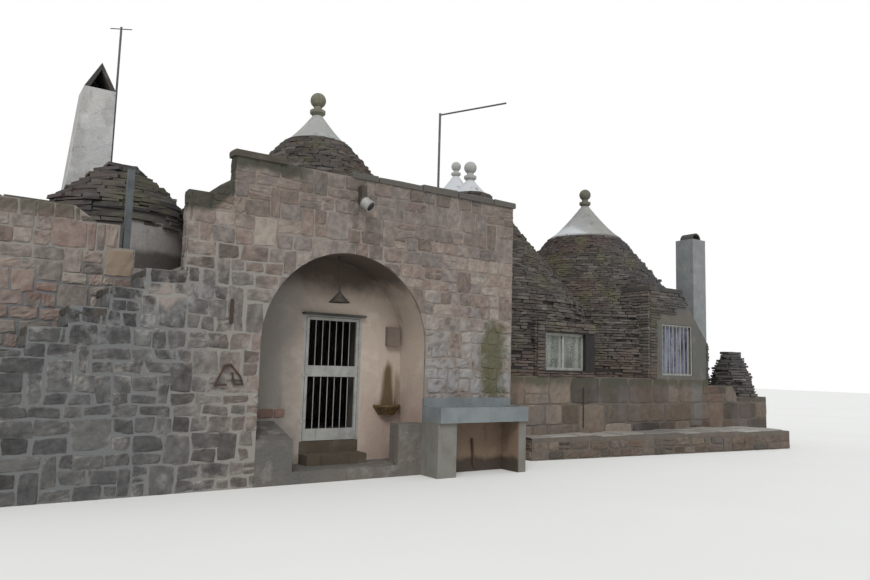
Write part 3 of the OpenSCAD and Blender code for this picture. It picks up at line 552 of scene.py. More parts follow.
def cutOut(rect, hole):
    u0, u1, v0, v1 = rect
    a0, a1, b0, b1 = hole
    if u1 <= a0 or u0 >= a1 or v1 <= b0 or v0 >= b1:
        return [rect]
    rests = [(u0, min(u1, a0), v0, v1), (max(u0, a1), u1, v0, v1),
             (max(u0, a0), min(u1, a1), v0, min(v1, b0)),
             (max(u0, a0), min(u1, a1), max(v0, b1), v1)]
    return [r for r in rests if r[1] - r[0] > 0.04 and r[3] - r[2] > 0.03]


def spanCuts(low, high, mean, chance):
    # ends of random lengths that fill a span
    count = max(1, round((high - low) / mean))
    lengths = [chance.uniform(0.55, 1.45) for k in range(count)]
    ends = [low]
    for length in lengths:
        ends.append(ends[-1] + length * (high - low) / sum(lengths))
    return zip(ends, ends[1:])


def coursedRects(panel, look, chance):
    # courses of random height, where some stones stand through two of them
    rises = [chance.uniform(*look["rise"])]
    while sum(rises) < panel["height"] - look["rise"][0] / 2:
        rises.append(chance.uniform(*look["rise"]))
    rises = [rise * panel["height"] / sum(rises) for rise in rises]
    rects, standing, v = [], [], 0.0
    for course, rise in enumerate(rises):
        ends = [0.0] + [end for pair in standing for end in pair] + [panel["width"]]
        standing = []
        for low, high in zip(ends[::2], ends[1::2]):
            if high - low < 0.02:
                continue
            mean = look["wide"] * panel["stretch"]((low + high) / 2)
            mixed = panel["mixed"]((low + high) / 2)
            for u0, u1 in spanCuts(low, high, mean, chance):
                top = v + rise
                if (course + 1 < len(rises) and u1 - u0 > 0.16
                        and chance.random() < look["tall"] * mixed):
                    top += rises[course + 1]
                    standing.append((u0, u1))
                elif rise > look["rise"][0] * 1.2 and chance.random() < look["split"] * mixed:
                    middle = v + rise * chance.uniform(0.35, 0.65)
                    rects.append((u0, u1, v, middle))
                    rects.append((u0, u1, middle, top))
                    continue
                rects.append((u0, u1, v, top))
        v += rise
    top = panel["top"]
    for line in panel["breaks"]:
        low = min(top(line - 0.01), top(line + 0.01))
        rects = [piece for r in rects for piece in
                 (((r[0], line, r[2], r[3]), (line, r[1], r[2], r[3]))
                  if r[0] + 0.03 < line < r[1] - 0.03 and r[3] > low - 0.05 else (r,))]
    for hole in panel["holes"] + panel["singles"]:
        rects = [piece for r in rects for piece in cutOut(r, hole)]
    rects += panel["singles"]
    if top:
        rects = [(r[0], r[1], r[2], min(r[3], top((r[0] + r[1]) / 2))) for r in rects]
        rects = [r for r in rects if r[3] - r[2] > 0.045]
    return rects


def panelAt(origin, across, width, height, **more):
    # a stretch of wall from its lower corner, with u along it and v up; holes and single
    # stones are u from, to and v from, to, and the functions vary its stones
    return {"origin": origin, "across": across, "up": (0, 0, 1), "width": width,
            "height": height, "top": None, "arch": None, "breaks": [], "holes": [],
            "singles": [], "stretch": lambda u: 1.0, "mixed": lambda u: 1.0,
            "contrast": lambda u: 1.0, "lime": lambda u, v: 0.0,
            "shade": lambda u, v: 0.0, **more}


def profile(start, corners):
    # the line of a wall's top through corners x and z; u runs from the wall's start
    places, heights = zip(*corners)
    return lambda u: float(np.interp(start + u, places, heights))


def flatAt(x0, y0, x1, y1, z, **more):
    return panelAt((x0, y0, z), east, x1 - x0, y1 - y0, up=(0, 1, 0), **more)


def roundArch(panel, box, flat):
    # stones pushed out of the arch, and which of them are left
    middleU, middleV, radius = panel["arch"]
    centres = box[:, [0, 2]] * 0.5 + box[:, [1, 3]] * 0.5
    away = np.hypot(centres[:, 0] - middleU, np.maximum(centres[:, 1] - middleV, 0))
    size = np.minimum(box[:, 1] - box[:, 0], box[:, 3] - box[:, 2])
    du = flat[..., 0] - middleU
    dv = np.maximum(flat[..., 1] - middleV, 0)
    push = np.maximum(radius / np.maximum(np.hypot(du, dv), 1e-4), 1.0)
    flat[..., 0] = middleU + du * push
    flat[..., 1] = np.where(dv > 0, middleV + dv * push, flat[..., 1])
    return away > radius - size * 0.22


def layPanel(panel, look, shape, chance, spread):
    box = np.array(coursedRects(panel, look, chance))
    count = len(box)
    middles = (box[:, [0, 2]] + box[:, [1, 3]]) / 2
    lime = np.array([panel["lime"](u, v) for u, v in middles])[:, None, None]
    turns = np.array([[1, 1], [-1, 1], [-1, -1], [1, -1]])
    corners = np.stack([box[:, [0, 2]], box[:, [1, 2]], box[:, [1, 3]], box[:, [0, 3]]], axis=1)
    corners = corners + turns[None] * (look["joint"] / 2 * (1 + lime * 0.6)) + (
        spread.uniform(-look["skew"], look["skew"], corners.shape) * (1 + lime * 0.6))
    s = (shape[:, 0] * (1 - look["round"] * shape[:, 1] ** 2) + 1) / 2
    t = (shape[:, 1] * (1 - look["round"] * shape[:, 0] ** 2) + 1) / 2
    weights = np.stack([(1 - s) * (1 - t), s * (1 - t), s * t, (1 - s) * t], axis=1)
    outer = np.einsum("pk,nkd->npd", weights, corners)
    inner = np.einsum("pk,nkd->npd", weights, corners + turns * look["chamfer"])
    onFace, shown = (shape[None, :, 2] > -0.5), (shape[None, :, 2] > -1.5)
    flat = np.where(onFace[..., None], inner, outer)
    flat = flat + spread.uniform(-1, 1, flat.shape) * look["ragged"]
    keep = roundArch(panel, box, flat) if panel["arch"] else np.ones(count, bool)
    if panel["top"]:
        limit = np.vectorize(panel["top"])(np.clip(flat[..., 0], 0.001, panel["width"] - 0.001))
        flat[..., 1] = np.minimum(flat[..., 1], limit)
    flat = np.clip(flat, 0, (panel["width"], panel["height"]))
    proud = spread.uniform(*look["proud"], (count, 1)) * (1 - lime[:, 0] * 0.35)
    lift = np.where(onFace, proud, np.where(shown, proud - look["fall"], -0.015))
    lift = lift + shown * spread.normal(0, look["rough"], (count, len(shape)))
    lift = np.maximum(lift, np.where(shown, 0.001, -0.05))
    across = np.array(panel["across"], float)
    across /= np.linalg.norm(across)
    upward = np.array(panel["up"], float)
    points = (np.array(panel["origin"], float) + flat[..., :1] * across
              + flat[..., 1:] * upward + lift[..., None] * np.cross(across, upward))
    shade = np.array([panel["shade"](u, v) for u, v in middles])
    contrast = np.array([panel["contrast"](u) for u in box[:, 0]])
    light = look["light"] + contrast * spread.normal(0, look["vary"], count)
    tones = toneArray(np.clip(light - shade, 0.02, 1), spread.random(count),
                      ~onFace * 0.6 + lime[:, 0] * 0.4)
    return points[keep], tones[keep]


def layWall(name, panels, look, finish, seed, pattern=plainPattern, replaced=()):
    chance, spread = random.Random(seed), np.random.default_rng(seed)
    laid = [layPanel(panel, look, pattern["points"], chance, spread) for panel in panels]
    points, tones = (np.concatenate(part) for part in zip(*laid))
    layStones(name, pattern, points, tones, finish, replaced)


east, north, west, south = (1, 0, 0), (0, 1, 0), (-1, 0, 0), (0, -1, 0)
squared = {"rise": (0.15, 0.26), "wide": 0.29, "tall": 0.16, "split": 0.08, "joint": 0.018,
           "skew": 0.016, "ragged": 0.006, "chamfer": 0.018, "proud": (0.006, 0.018),
           "fall": 0.007, "rough": 0.004, "round": 0.05, "light": 0.5, "vary": 0.15}
rubble = dict(squared, rise=(0.13, 0.24), wide=0.32, joint=0.034, ragged=0.007,
              chamfer=0.02, proud=(0.008, 0.03), fall=0.012, rough=0.006)
blocks = dict(squared, rise=(0.2, 0.3), wide=0.45, joint=0.016, skew=0.008, ragged=0.003,
              chamfer=0.014, proud=(0.006, 0.016), rough=0.003)
flags = dict(squared, rise=(0.35, 0.6), wide=0.55, joint=0.02, skew=0.012, rough=0.002)

# the whole front: stair wall, shoulder and facade, bonded together
stair = {"steps": 11, "landingEdge": -3.1, "slab": 0.09}
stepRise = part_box("stair_treads")[1].z / stair["steps"]
stepRun = (stair["landingEdge"] - stairLo.x) / (stair["steps"] - 1)
stepEdges = [stair["landingEdge"] - k * stepRun for k in range(stair["steps"])]


def frontTop(u):
    x = stairLo.x + u
    if x > shoulderHi.x:
        return facadeHi.z
    if x > shoulderLo.x:
        rise = 1 - (shoulderHi.x - x) / shoulder["slope"]
        return shoulder["top"] + max(rise, 0) * (shoulderHi.z - shoulder["top"])
    if x >= stair["landingEdge"]:
        return stairTop
    down = math.floor((stair["landingEdge"] - x) / stepRun) + 1
    return max(stairTop - down * stepRise, 0.0)


def frontLime(u, v):
    # the pointing is widest low down and left of the arch
    x = stairLo.x + u
    near = min(max((0.7 - x) / 1.6, 0.3 if v > 2.6 else 0.5), 1)
    return near * min(max(3.9 - v, 0.1), 1) * (1 if x > -4.2 else 0.55)


# two dark blocks at the landing's end: u and v from, to
darkBlocks = [(-3.07 - stairLo.x, -2.54 - stairLo.x, 2.84, stairTop),
              (-3.5 - stairLo.x, -3.12 - stairLo.x, 2.57, stairTop - stepRise)]


def frontShade(u, v):
    # dark stones under the stair and on the shoulder's top
    x = stairLo.x + u
    if any(low < u < high and foot < v < top for low, high, foot, top in darkBlocks):
        return 0.42
    under = frontTop(u) - v
    if x < shoulderLo.x:
        fade = 0.55 if x < stair["landingEdge"] else 0.28
        return 0.34 * min(max(1.25 - under / fade, 0), 1)
    return 0.3 if x < shoulderHi.x and under < 0.2 else 0.0


def onStair(u):
    # 1 on the stair wall, 0 right of it
    return min(max(3.9 - u, 0), 1)


layWall("front_stones", [
    panelAt((stairLo.x, facadeY, 0), east, facadeHi.x - stairLo.x, facadeHi.z,
            arch=(-stairLo.x, facadeLo.z, archRadius), top=frontTop, singles=darkBlocks,
            lime=frontLime, shade=frontShade, mixed=lambda u: min(max(u - 2.9, 0.1), 1),
            contrast=lambda u: 1.0 + 0.8 * onStair(u), stretch=lambda u: 1.0 + 0.4 * onStair(u),
            breaks=[x - stairLo.x for x in stepEdges + [
                shoulderLo.x, shoulderHi.x - shoulder["slope"], shoulderHi.x]]),
    panelAt((shoulderLo.x, parapetY, stairTop + 0.02), south, parapetY - shoulderLo.y,
            shoulder["top"] - stairTop - 0.02),
    panelAt((facadeLo.x, parapetY, stairTop), west, facadeLo.x - shoulderLo.x,
            shoulder["top"] - stairTop)],
    squared, "facadeStone", 3, finePattern)

# the wall behind the stair: its top steps down to its low end at the post
leftSteps = {"end": -3.08, "low": -3.3, "middle": -3.6, "high": -3.9}
layWall("left_wall_stones", [panelAt(
    (leftLo.x, leftLo.y, 0), east, leftSteps["end"] - leftLo.x, leftHi.z,
    top=profile(leftLo.x, [(leftSteps["high"], leftHi.z), (leftSteps["high"], 3.9),
                           (leftSteps["middle"], 3.7), (leftSteps["low"], 3.7),
                           (leftSteps["low"], 3.37)]),
    singles=[(-3.48 - leftLo.x, -3.085 - leftLo.x, 2.93, 3.36)],
    breaks=[leftSteps[key] - leftLo.x for key in ("low", "middle", "high")])],
    dict(squared, light=0.58, rise=(0.14, 0.23), round=0.06), "leftStone", 9,
    finePattern)
print("front walls laid")

# sides and back of the house, with the thickness of the terrace's and the block's parapet
ledge, blockWall = 0.6, 0.34
layWall("left_side_stones", [
    panelAt((leftLo.x, leftBackHi.y, 0), south, leftBackHi.y - leftHi.y, leftSideTop),
    panelAt((leftLo.x, leftHi.y, 0), south, leftHi.y - leftLo.y, leftHi.z),
    panelAt((leftBackHi.x, leftBackHi.y, 0), west, leftBackHi.x - leftBackLo.x, leftBackHi.z),
    panelAt((leftHi.x - 1.2, leftHi.y, stairTop), west, leftHi.x - 1.2 - leftLo.x - ledge, 0.6),
    panelAt((leftLo.x + ledge, leftHi.y, stairTop), north, leftBackHi.y - leftHi.y - ledge,
            leftSideTop - stairTop)],
    rubble, "stairStone", 11)
depth, frontDepth = blockHi.y - facadeY, parapetY - facadeY
blockWide = facadeHi.x - facadeLo.x
layWall("block_side_stones", [
    panelAt((facadeLo.x, blockHi.y, stairTop), south, depth, facadeHi.z - stairTop,
            breaks=[depth - frontDepth],
            top=lambda u: (facadeHi.z if u > depth - frontDepth else blockHi.z) - stairTop),
    panelAt((facadeHi.x, facadeY, 0), north, depth, facadeHi.z, breaks=[frontDepth],
            top=lambda u: facadeHi.z if u < frontDepth else blockHi.z),
    panelAt((facadeHi.x, blockHi.y, 0), west, blockWide, blockHi.z),
    panelAt((facadeHi.x, parapetY, roofZ), west, blockWide, facadeHi.z - roofZ)],
    dict(squared, light=0.52, wide=0.45), "facadeStone", 13)
annex = {"from": 11.84, "to": 12.04, "high": 1.48, "low": 1.2}
layWall("wing_stones", [panelAt(
    (wingLo.x, wingLo.y, 0), east, wingHi.x - wingLo.x, wallTop,
    top=profile(wingLo.x, [(dormerHi.x, wallTop), (dormerHi.x, annex["high"]),
                           (annex["from"], annex["high"]), (annex["to"], annex["low"])]),
    breaks=[x - wingLo.x for x in (dormerHi.x, annex["from"], annex["to"])])],
    dict(blocks, light=0.46, wide=0.72, rise=(0.4, 0.6), split=0.1, tall=0.1, vary=0.22,
         round=0.08, joint=0.022), "wallStone", 15, finePattern)
rearWide, rearDeep = rearHi.x - rearLo.x, rearHi.y - rearLo.y
layWall("rear_stones", [
    panelAt((rearLo.x, rearHi.y, 0), south, rearDeep, rearHi.z),
    panelAt((rearHi.x, rearLo.y, 0), north, rearDeep, rearHi.z),
    panelAt((rearHi.x, rearHi.y, 0), west, rearWide, rearHi.z),
    panelAt((rearLo.x, rearLo.y, wallTop), east, rearWide, rearHi.z - wallTop),
    panelAt((wingEnd, annexHi.y, 0), north, wingBackHi.y - annexHi.y, wallTop),
    panelAt((wingEnd, wingBackHi.y, 0), west, wingEnd - rearHi.x, wallTop),
    panelAt((rearLo.x, wingBackHi.y, 0), west, rearLo.x - wingBackLo.x, wallTop),
    panelAt((wingHi.x, wingLo.y, 0), north, annexHi.y - wingLo.y, annex["low"]),
    panelAt((annexHi.x, annexHi.y, 0), west, annexHi.x - wingEnd, annex["low"])],
    dict(blocks, wide=0.5, joint=0.02), "wallStone", 17)
benchRun = Vector((benchHi.x - benchLo.x, -0.85, 0))
benchRise = benchHi.z - 0.07
layWall("bench_stones", [
    panelAt((benchLo.x, 0.15, 0), benchRun, benchRun.length, benchRise),
    panelAt((benchHi.x, benchLo.y, 0), north, benchHi.y - benchLo.y, benchRise),
    panelAt((benchLo.x, benchHi.y, 0), south, 0.45, benchRise)],
    dict(rubble, light=0.42, rise=(0.13, 0.22), wide=0.36), "wallStone", 19,
    finePattern)
print("side and rear walls laid")

# flagstones on the flat roofs, with holes round the cones
layWall("roof_flags", [
    flatAt(facadeLo.x + blockWall, parapetY, facadeHi.x - blockWall, blockHi.y - blockWall, roofZ,
           holes=[(1.35, 4.0, 1.6, 4.3)]),
    flatAt(shoulderLo.x, parapetY, facadeLo.x, shoulderHi.y, stairTop),
    flatAt(leftLo.x + ledge, leftHi.y, facadeLo.x, leftBackHi.y - ledge, stairTop,
           holes=[(4.0, 5.2, 1.0, 2.9)]),
    flatAt(wingBackLo.x, wingLo.y, wingEnd, wingBackHi.y, wallTop,
           holes=[(0.5, 9.0, 0, 5.6)])],
    flags, "flagStone", 21)

# coping, wall tops and treads: single slabs in a row along x, or along y with crossLook
slabLook = {"rise": (3.0, 3.0), "wide": 0.65, "tall": 0.0, "split": 0.0, "joint": 0.01,
            "skew": 0.012, "ragged": 0.004, "chamfer": 0.012, "proud": (0.075, 0.11),
            "fall": 0.02, "rough": 0.004, "round": 0.02, "light": 0.35, "vary": 0.16}
thinLook = dict(slabLook, proud=(0.02, 0.045), fall=0.012)
crossLook = dict(thinLook, rise=(0.45, 0.85), wide=3.0)
copingGap = (-1.17, -0.06)
layWall("front_coping", [
    flatAt(copingLo.x, copingLo.y, copingGap[0], copingHi.y, copingLo.z),
    flatAt(copingGap[1], copingLo.y, copingHi.x, copingHi.y, copingLo.z)],
    slabLook, "copingStone", 23, replaced=("coping",))
layWall("left_wall_tops", [
    flatAt(leftLo.x, leftLo.y, leftSteps["high"], leftHi.y, leftHi.z),
    flatAt(leftBackLo.x, leftBackLo.y, facadeLo.x, leftBackHi.y, leftBackHi.z),
    flatAt(facadeLo.x, blockHi.y - blockWall, facadeHi.x, blockHi.y, blockHi.z)],
    dict(thinLook, light=0.45), "copingStone", 26)
layWall("side_tops", [
    flatAt(leftLo.x, leftHi.y, leftLo.x + ledge, leftBackLo.y, leftSideTop),
    flatAt(facadeLo.x, parapetY, facadeLo.x + blockWall, blockHi.y - blockWall, blockHi.z),
    flatAt(facadeHi.x - blockWall, parapetY, facadeHi.x, blockHi.y - blockWall, blockHi.z)],
    crossLook, "copingStone", 27)
layWall("riser_stones", [
    panelAt((x, stairHi.y, stairTop - (k + 1) * stepRise), south, stairHi.y - stairLo.y,
            stepRise - stair["slab"]) for k, x in enumerate(stepEdges)],
    dict(squared, wide=0.3, rise=(0.17, 0.2), light=0.3, split=0, tall=0), "stairStone",
    47)
layWall("tread_slabs", [
    flatAt(x - 0.02, stairLo.y - 0.008, stepEdges[k - 1] if k else shoulderLo.x, stairHi.y,
           stairTop - k * stepRise - stair["slab"]) for k, x in enumerate(stepEdges)],
    dict(slabLook, rise=(0.35, 0.55), proud=(0.075, 0.09), light=0.5, skew=0.004),
    "copingStone", 28, replaced=("stair_treads",))
benchCuts = [(benchLo.x, 0.16), (6.2, -0.05), (8.6, -0.31), (10.6, -0.53), (benchHi.x, 0)]
layWall("bench_tops", [
    flatAt(x0, y, x1, benchHi.y, benchHi.z - 0.01)
    for (x0, y), (x1, end) in zip(benchCuts, benchCuts[1:])],
    dict(thinLook, wide=0.7, rise=(0.4, 0.7), light=0.7), "flagStone", 29)
print("tops laid")


def layCone(name, place, flank, look, seed, drop=None, fit=None):
    # flank: height and radius pairs from foot to top
    spread = np.random.default_rng(seed)
    heights, radii = zip(*flank)
    rows = []
    z = heights[0]
    while z < heights[-1] - 0.02:
        pitch = spread.uniform(*look["pitch"])
        radius = float(np.interp(z + pitch / 2, heights, radii))
        ring = radius + spread.normal(0, look["ringShift"])
        turn = spread.uniform(0, 2 * math.pi)
        around = 0.0
        while around < 2 * math.pi - 0.5 * look["wide"][0] / max(radius, 0.2):
            wide = min(spread.uniform(*look["wide"]) / max(radius, 0.2), 2 * math.pi - around)
            rows.append((z, pitch, ring, turn + around + wide / 2, wide * radius))
            around += wide
        z += pitch
    foot, pitch, ring, angle, wide = (column[:, None] for column in np.array(rows).T)
    count = len(rows)
    shape = slabPattern["points"]
    size = len(shape)
    front = (shape[:, 2] > -0.5)[None, :]
    shift = spread.normal(0, look["shift"], (count, 1))
    thick = pitch * spread.uniform(0.84, 0.97, (count, 1))
    tangent = shape[None, :, 0] * (wide / 2 - 0.004) * np.where(front, 1.0, 0.86)
    tangent = tangent + spread.uniform(-0.006, 0.006, (count, size))
    up = (foot + pitch / 2 + shape[None, :, 1] * thick / 2 * np.where(front, 0.86, 1.0)
          + spread.uniform(-0.004, 0.004, (count, size)))
    up = up + spread.normal(0, look["tip"], (count, 1)) * shape[None, :, 0]
    radial = ring + shift + np.where(front, 0.0, -look["depth"])
    bulge = (np.abs(shape[:, 0]) < 0.5)[None, :] * front * 0.014
    radial = radial + bulge + spread.uniform(-0.009, 0.009, (count, size)) * front
    points = np.stack([place[0] + radial * np.cos(angle) - tangent * np.sin(angle),
                       place[1] + radial * np.sin(angle) + tangent * np.cos(angle), up], axis=2)
    keep = np.ones(count, bool)
    if drop:
        keep = ~drop(*points[:, front[0]].mean(axis=1).T)
    if fit:
        points[..., 0] = np.clip(points[..., 0], *fit)
        wide = points.max(axis=1) - points.min(axis=1)
        keep &= np.minimum(wide[:, 0], wide[:, 1]) > 0.02
    light = np.clip(spread.normal(look["light"], 0.17, count), 0.02, 1)
    tones = toneArray(light, spread.random(count), ~front * 1.0)
    layStones(name, slabPattern, points[keep], tones[keep], "roofStone", ())


slabs = {"pitch": (0.045, 0.08), "wide": (0.12, 0.34), "ringShift": 0.012, "shift": 0.016,
         "tip": 0.005, "depth": 0.2, "light": 0.45}
bigSlabs = dict(slabs, pitch=(0.05, 0.09), wide=(0.2, 0.5), shift=0.02)
mainLo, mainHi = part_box("main_cone")
layCone("main_roof_slabs", ((mainLo.x + mainHi.x) / 2, (mainLo.y + mainHi.y) / 2),
        [(mainLo.z, 2.31), (mainHi.z, 0.67)], slabs, 31)
wing = {"y": 3.6, "middleX": 5.35, "rightX": 9.48, "footR": 3.02, "eavesZ": 3.3, "eavesR": 2.78}
valleyX = (wing["middleX"] + wing["rightX"]) / 2
middleZ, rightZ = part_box("middle_cone")[1].z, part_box("right_cone")[1].z
frameLo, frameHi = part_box("window_frames")
# the small window's bay, and where the dormer's roof starts to slope and ends
bay = {"x0": frameLo.x - 0.24, "x1": frameLo.x + 1.49, "z": 2.805}
slope = {"x": 9.75, "topZ": 3.74, "endX": 10.81, "z": 2.52}


def dropMiddle(x, y, z):
    inBay = (x > bay["x0"] - 0.03) & (x < bay["x1"] + 0.03) & (z < bay["z"]) & (y < 2)
    return (x < facadeHi.x - 0.05) | (x > valleyX + 0.05) | inBay


def dropRight(x, y, z):
    inDormer = ((x > dormerLo.x - 0.02) & (x < dormerHi.x + 0.02) & (y < dormerHi.y)
                & (z < dormerHi.z))
    fall = (slope["topZ"] - slope["z"]) / (slope["endX"] - slope["x"])
    under = z < slope["topZ"] - (x - slope["x"]) * fall
    return (x < valleyX - 0.05) | (inDormer & ((x < slope["x"]) | under))


def dropRear(x, y, z):
    hidden = np.zeros(len(x), bool)
    for middle, top, cap in ((wing["middleX"], middleZ, 0.5), (wing["rightX"], rightZ, 0.99)):
        flank = np.interp(z, [wallTop, wing["eavesZ"], top], [3.0, 2.76, cap])
        hidden |= np.hypot(x - middle, y - wing["y"]) < flank - 0.1
    return hidden


wingFoot = [(wallTop, wing["footR"]), (wing["eavesZ"], wing["eavesR"])]
layCone("middle_roof_slabs", (wing["middleX"], wing["y"]), wingFoot + [(middleZ, 0.52)], slabs,
        33, dropMiddle, (facadeHi.x + 0.002, valleyX + 0.03))
layCone("right_roof_slabs", (wing["rightX"], wing["y"]), wingFoot + [(rightZ, 1.02)], slabs,
        35, dropRight, (valleyX - 0.03, None))
rearConeLo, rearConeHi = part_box("rear_cone")
layCone("rear_roof_slabs", (8.24, 8.2),
        [(rearConeLo.z, 2.92), (4.8, 2.87), (rearConeHi.z, 1.28)], slabs, 37, dropRear)
layCone("small_roof_slabs", (-2.9, (smallLo.y + smallHi.y) / 2),
        [(smallLo.z - 0.22, 1.17), (smallLo.z + 0.2, 1.12), (smallHi.z, 0.26)],
        dict(bigSlabs, wide=(0.25, 0.6), shift=0.03, depth=0.22), 39,
        lambda x, y, z: x > facadeLo.x - 0.02, (None, facadeLo.x - 0.002))
pileLo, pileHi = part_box("annex_cone")
pileR, pileH = (pileHi.x - pileLo.x) / 2, pileHi.z - pileLo.z
layCone("pile_slabs", ((pileLo.x + pileHi.x) / 2, (pileLo.y + pileHi.y) / 2),
        [(pileLo.z + up * pileH, out * pileR)
         for up, out in ((0, 1), (0.25, 0.9), (0.6, 0.7), (1, 0.35))], bigSlabs, 41)
print("cones laid")

# dry cladding of the bay and the dormer, round the small and the large window
wingY = wingLo.y
dry = dict(squared, rise=(0.05, 0.09), wide=0.27, tall=0.0, split=0.0, joint=0.008, skew=0.007,
           chamfer=0.01, proud=(0.012, 0.05), fall=0.012, light=0.45)
small = {"x0": frameLo.x, "x1": frameLo.x + 1.21, "z0": 1.78, "z1": 2.575}
large = {"x0": 8.99, "x1": frameHi.x, "z0": frameLo.z, "z1": frameHi.z}
bayWide = bay["x1"] - bay["x0"]
dormerWide = dormerHi.x - dormerLo.x
dormerRise = dormerHi.z - wallTop
dormerTop = profile(dormerLo.x, [(slope["x"], dormerRise), (dormerHi.x, slope["z"] - wallTop)])
layWall("bay_slabs", [
    panelAt((bay["x0"], wingY, wallTop), east, bayWide, bay["z"] - wallTop,
            holes=[(small["x0"] - bay["x0"], bayWide - 0.03, 0.09, small["z1"] - wallTop)]),
    panelAt((bay["x0"], wingY + 0.9, wallTop), south, 0.9, bay["z"] - wallTop),
    panelAt((dormerLo.x, wingY, wallTop), east, dormerWide, dormerRise, top=dormerTop,
            holes=[(0.26, 2.2, 0, 1.4), (0.4, 2.28, 1.2, 1.56), (1.0, 2.28, 1.2, 1.75)]),
    # painted light: the dormer's west side is made lighter against the shade the cone gives it
    panelAt((dormerLo.x, dormerHi.y, wallTop), south, dormerHi.y - wingY, dormerRise,
            shade=lambda u, v: -0.25)],
    dry, "roofStone", 43)


# bars, panes and irons
def bevelled(obj, width, segments):
    bevel = obj.modifiers.new("edge", "BEVEL")
    bevel.width = width
    bevel.segments = segments
    bpy.ops.object.modifier_apply(modifier="edge")
    return obj


def softBox(lo, hi, edge=0.004):
    cube = addShape(bpy.ops.mesh.primitive_cube_add, size=1,
                    location=[(a + b) / 2 for a, b in zip(lo, hi)],
                    scale=[b - a for a, b in zip(lo, hi)])
    return bevelled(joinPieces([cube]), edge, 2)


def rod(points, radius):
    # round bar through a row of points, with ball corners
    made = []
    for start, end in zip(points, points[1:]):
        start, run = Vector(start), Vector(end) - Vector(start)
        made.append(addShape(
            bpy.ops.mesh.primitive_cylinder_add, vertices=12, radius=radius, depth=run.length,
            location=start + run / 2, rotation=run.to_track_quat("Z", "Y").to_euler()))
    for corner in points[1:-1]:
        made.append(addShape(bpy.ops.mesh.primitive_uv_sphere_add, segments=12, ring_count=8,
                             radius=radius, location=corner))
    return made


grille = {"bars": 7, "thick": 0.011, "rail": 0.016, "y": wingY + 0.025}
bars = []
for k in range(grille["bars"] + 2):
    x = large["x0"] + 0.02 + k * (large["x1"] - large["x0"] - 0.04) / (grille["bars"] + 1)
    thick = grille["thick"] * (1.5 if k in (0, grille["bars"] + 1) else 1)
    bars += rod([(x, grille["y"], large["z0"] + 0.01), (x, grille["y"], large["z1"] - 0.01)],
                thick)
for z in (large["z0"] + 0.02, large["z1"] - 0.02):
    bars.append(softBox((large["x0"] + 0.005, grille["y"] - 0.008, z - grille["rail"]),
                        (large["x1"] - 0.005, grille["y"] + 0.008, z + grille["rail"])))
finishPiece(bars, "window_grille", "whitePaint")

pane = {"y": wingY + 0.115, "edge": 0.04}
sash = (small["x0"] + small["x1"]) / 2


def layPane(x0, x1, opening):
    return softBox((x0, pane["y"], opening["z0"] + pane["edge"]),
                   (x1, pane["y"] + 0.01, opening["z1"] - pane["edge"]))


# the small panes are mottled pale grey-green
smallPanes = [layPane(small["x0"] + pane["edge"], sash - 0.02, small),
              layPane(sash + 0.02, small["x1"] - pane["edge"], small)]
finishPiece(smallPanes, "small_window_panes", "dustyGlass")
# the large pane carries a painted reflection of the sky
finishPiece([layPane(large["x0"] + pane["edge"], large["x1"] - pane["edge"], large)],
            "large_window_pane", "skyGlass")

# smooth plaster at the back of the sink's recess and on the inner face of its right leg
recess = {"left": sinkLo.x + 0.37, "right": sinkHi.x - 0.16, "thick": 0.034}
recessSkin = [softBox((recess["left"] - 0.002, facadeY - recess["thick"], 0),
                      (recess["right"] + 0.002, facadeY + 0.002, sinkHi.z), 0.008),
              softBox((recess["right"] - 0.012, sinkLo.y + 0.012, 0),
                      (recess["right"] + 0.002, facadeY, sinkHi.z), 0.005)]
finishPiece(recessSkin, "recess_plaster", "recessPlaster")
drip = softBox((-0.46, nicheBackY - 0.09, 2.59), (0.70, nicheBackY + 0.01, 2.63), 0.006)
finishPiece([drip], "door_drip", "darkTop")

# a bent iron on the stair wall and rods on the walls
loop = [(-1.86, 1.64), (-1.83, 1.47), (-1.70, 1.47), (-1.74, 1.58), (-1.88, 1.74),
        (-1.97, 1.73), (-2.10, 1.45), (-1.93, 1.46)]
loopY = facadeY - 0.035
irons = rod([(x, loopY, z) for x, z in loop], 0.014)
irons += rod([(-1.88, loopY, 1.74), (-1.88, facadeY + 0.02, 1.76)], 0.012)
irons.append(softBox((-1.935, facadeY - 0.032, 2.33), (-1.885, facadeY + 0.005, 2.68), 0.01))
irons += rod([(6.27, wingY - 0.03, 0.56), (6.28, wingY - 0.03, 1.42)], 0.013)
irons += rod([(2.49, facadeY - 0.06, 0.08), (2.44, facadeY - 0.06, 0.56)], 0.02)
finishPiece(irons, "wall_irons", "rustyIron")

# the floodlight's shell, with glass and rim on its front
flood = {"middle": Vector((0.14, facadeY - 0.15, 4.36)), "radius": 0.09, "half": 0.09,
         "dip": math.radians(127), "turn": math.radians(34)}
aim = Vector((math.sin(flood["dip"]) * math.sin(flood["turn"]),
              -math.sin(flood["dip"]) * math.cos(flood["turn"]), math.cos(flood["dip"])))
facing = aim.to_track_quat("Z", "Y").to_euler()
floodFront = flood["middle"] + aim * flood["half"]
shell = addShape(bpy.ops.mesh.primitive_cylinder_add, vertices=32,
                 radius=flood["radius"] + 0.004, depth=flood["half"] * 2 - 0.02,
                 rotation=facing, location=flood["middle"] + aim * 0.012)
finishPiece([bevelled(shell, 0.02, 3)], "flood_shell", "whitePaint")
glass = addShape(bpy.ops.mesh.primitive_uv_sphere_add, segments=32, ring_count=12,
                 radius=flood["radius"] * 0.86, rotation=facing, location=floodFront,
                 scale=(1, 1, 0.18))
finishPiece([glass], "flood_glass", "darkGlass")
rim = addShape(bpy.ops.mesh.primitive_torus_add, major_radius=flood["radius"],
               minor_radius=0.009, major_segments=40, minor_segments=8, rotation=facing,
               location=floodFront)
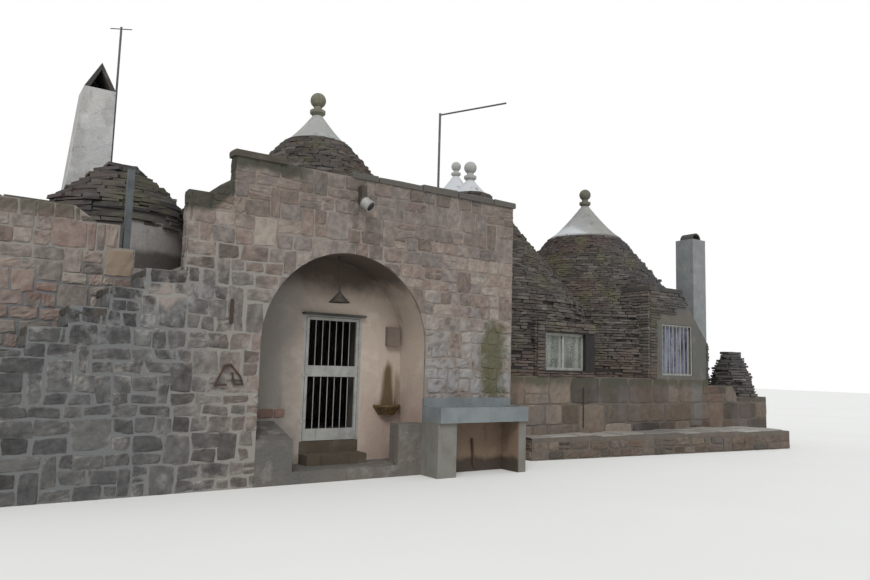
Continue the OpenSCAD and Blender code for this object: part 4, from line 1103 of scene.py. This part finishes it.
finishPiece([rim], "flood_rim", "whitePaint")

# bricks let into the back wall over the left bench
layWall("bench_bricks", [panelAt((-1.18, nicheBackY, 0.91), east, 0.49, 0.15)],
        dict(blocks, rise=(0.15, 0.15), wide=0.24, tall=0, split=0, proud=(0.012, 0.02),
             joint=0.01), "brickRed", 45)
print("fittings made")

# camera, light and floor
view = {"place": (-5.25, -10.4, 1.80), "yaw": 34.47, "pitch": 6.12, "roll": 1.52,
        "lens": 709 / 870 * 36}
yaw, pitch, roll = (math.radians(view[key]) for key in ("yaw", "pitch", "roll"))
ahead = Vector((math.sin(yaw) * math.cos(pitch), math.cos(yaw) * math.cos(pitch),
                math.sin(pitch)))
side = Vector((math.cos(yaw), -math.sin(yaw), 0))
above = side.cross(ahead)
right = side * math.cos(roll) + above * math.sin(roll)
upper = above * math.cos(roll) - side * math.sin(roll)
camera = bpy.data.objects.new("camera", bpy.data.cameras.new("camera"))
bpy.context.collection.objects.link(camera)
camera.matrix_world = Matrix.Translation(view["place"]) @ Matrix(
    (right, upper, -ahead)).transposed().to_4x4()
camera.data.lens = view["lens"]
camera.data.sensor_width = 36
camera.data.clip_end = 500
bpy.context.scene.camera = camera
bpy.context.scene.view_settings.view_transform = "Standard"

# a soft overcast sky that the camera sees as white
world = bpy.data.worlds.new("softSky")
bpy.context.scene.world = world
tree = Tree(world)
sky = tree.node("Background", {}, {"Color": (0.95, 0.98, 1.0, 1), "Strength": 0.75})
white = tree.node("Background", {}, {"Color": (1, 1, 1, 1)})
seen = tree.node("Math", {"operation": "MAXIMUM"}, {
    0: tree.node("LightPath", out="Is Camera Ray"),
    1: tree.node("LightPath", out="Is Transmission Ray")})
tree.node("OutputWorld", {}, {0: tree.node("MixShader", {}, {0: seen, 1: sky, 2: white})})
sun = bpy.data.objects.new("sun", bpy.data.lights.new("sun", "SUN"))
bpy.context.collection.objects.link(sun)
sun.data.energy = 1.6
sun.data.angle = math.radians(25)
sun.rotation_euler = Vector((0.55, 0.75, -0.9)).to_track_quat("-Z", "Y").to_euler()

floor = addShape(bpy.ops.mesh.primitive_plane_add, size=160, location=(2, 2, 0))
floor.name = "floor"
pale = Finish("paleFloor", {"rough": 0.9, "near": "e2e1de", "far": "e8e7e4"})
pale.colour = pale.mix(pale.noise(0.3, 2), pale.look["near"], pale.look["far"])
floor.data.materials.append(pale.finish())
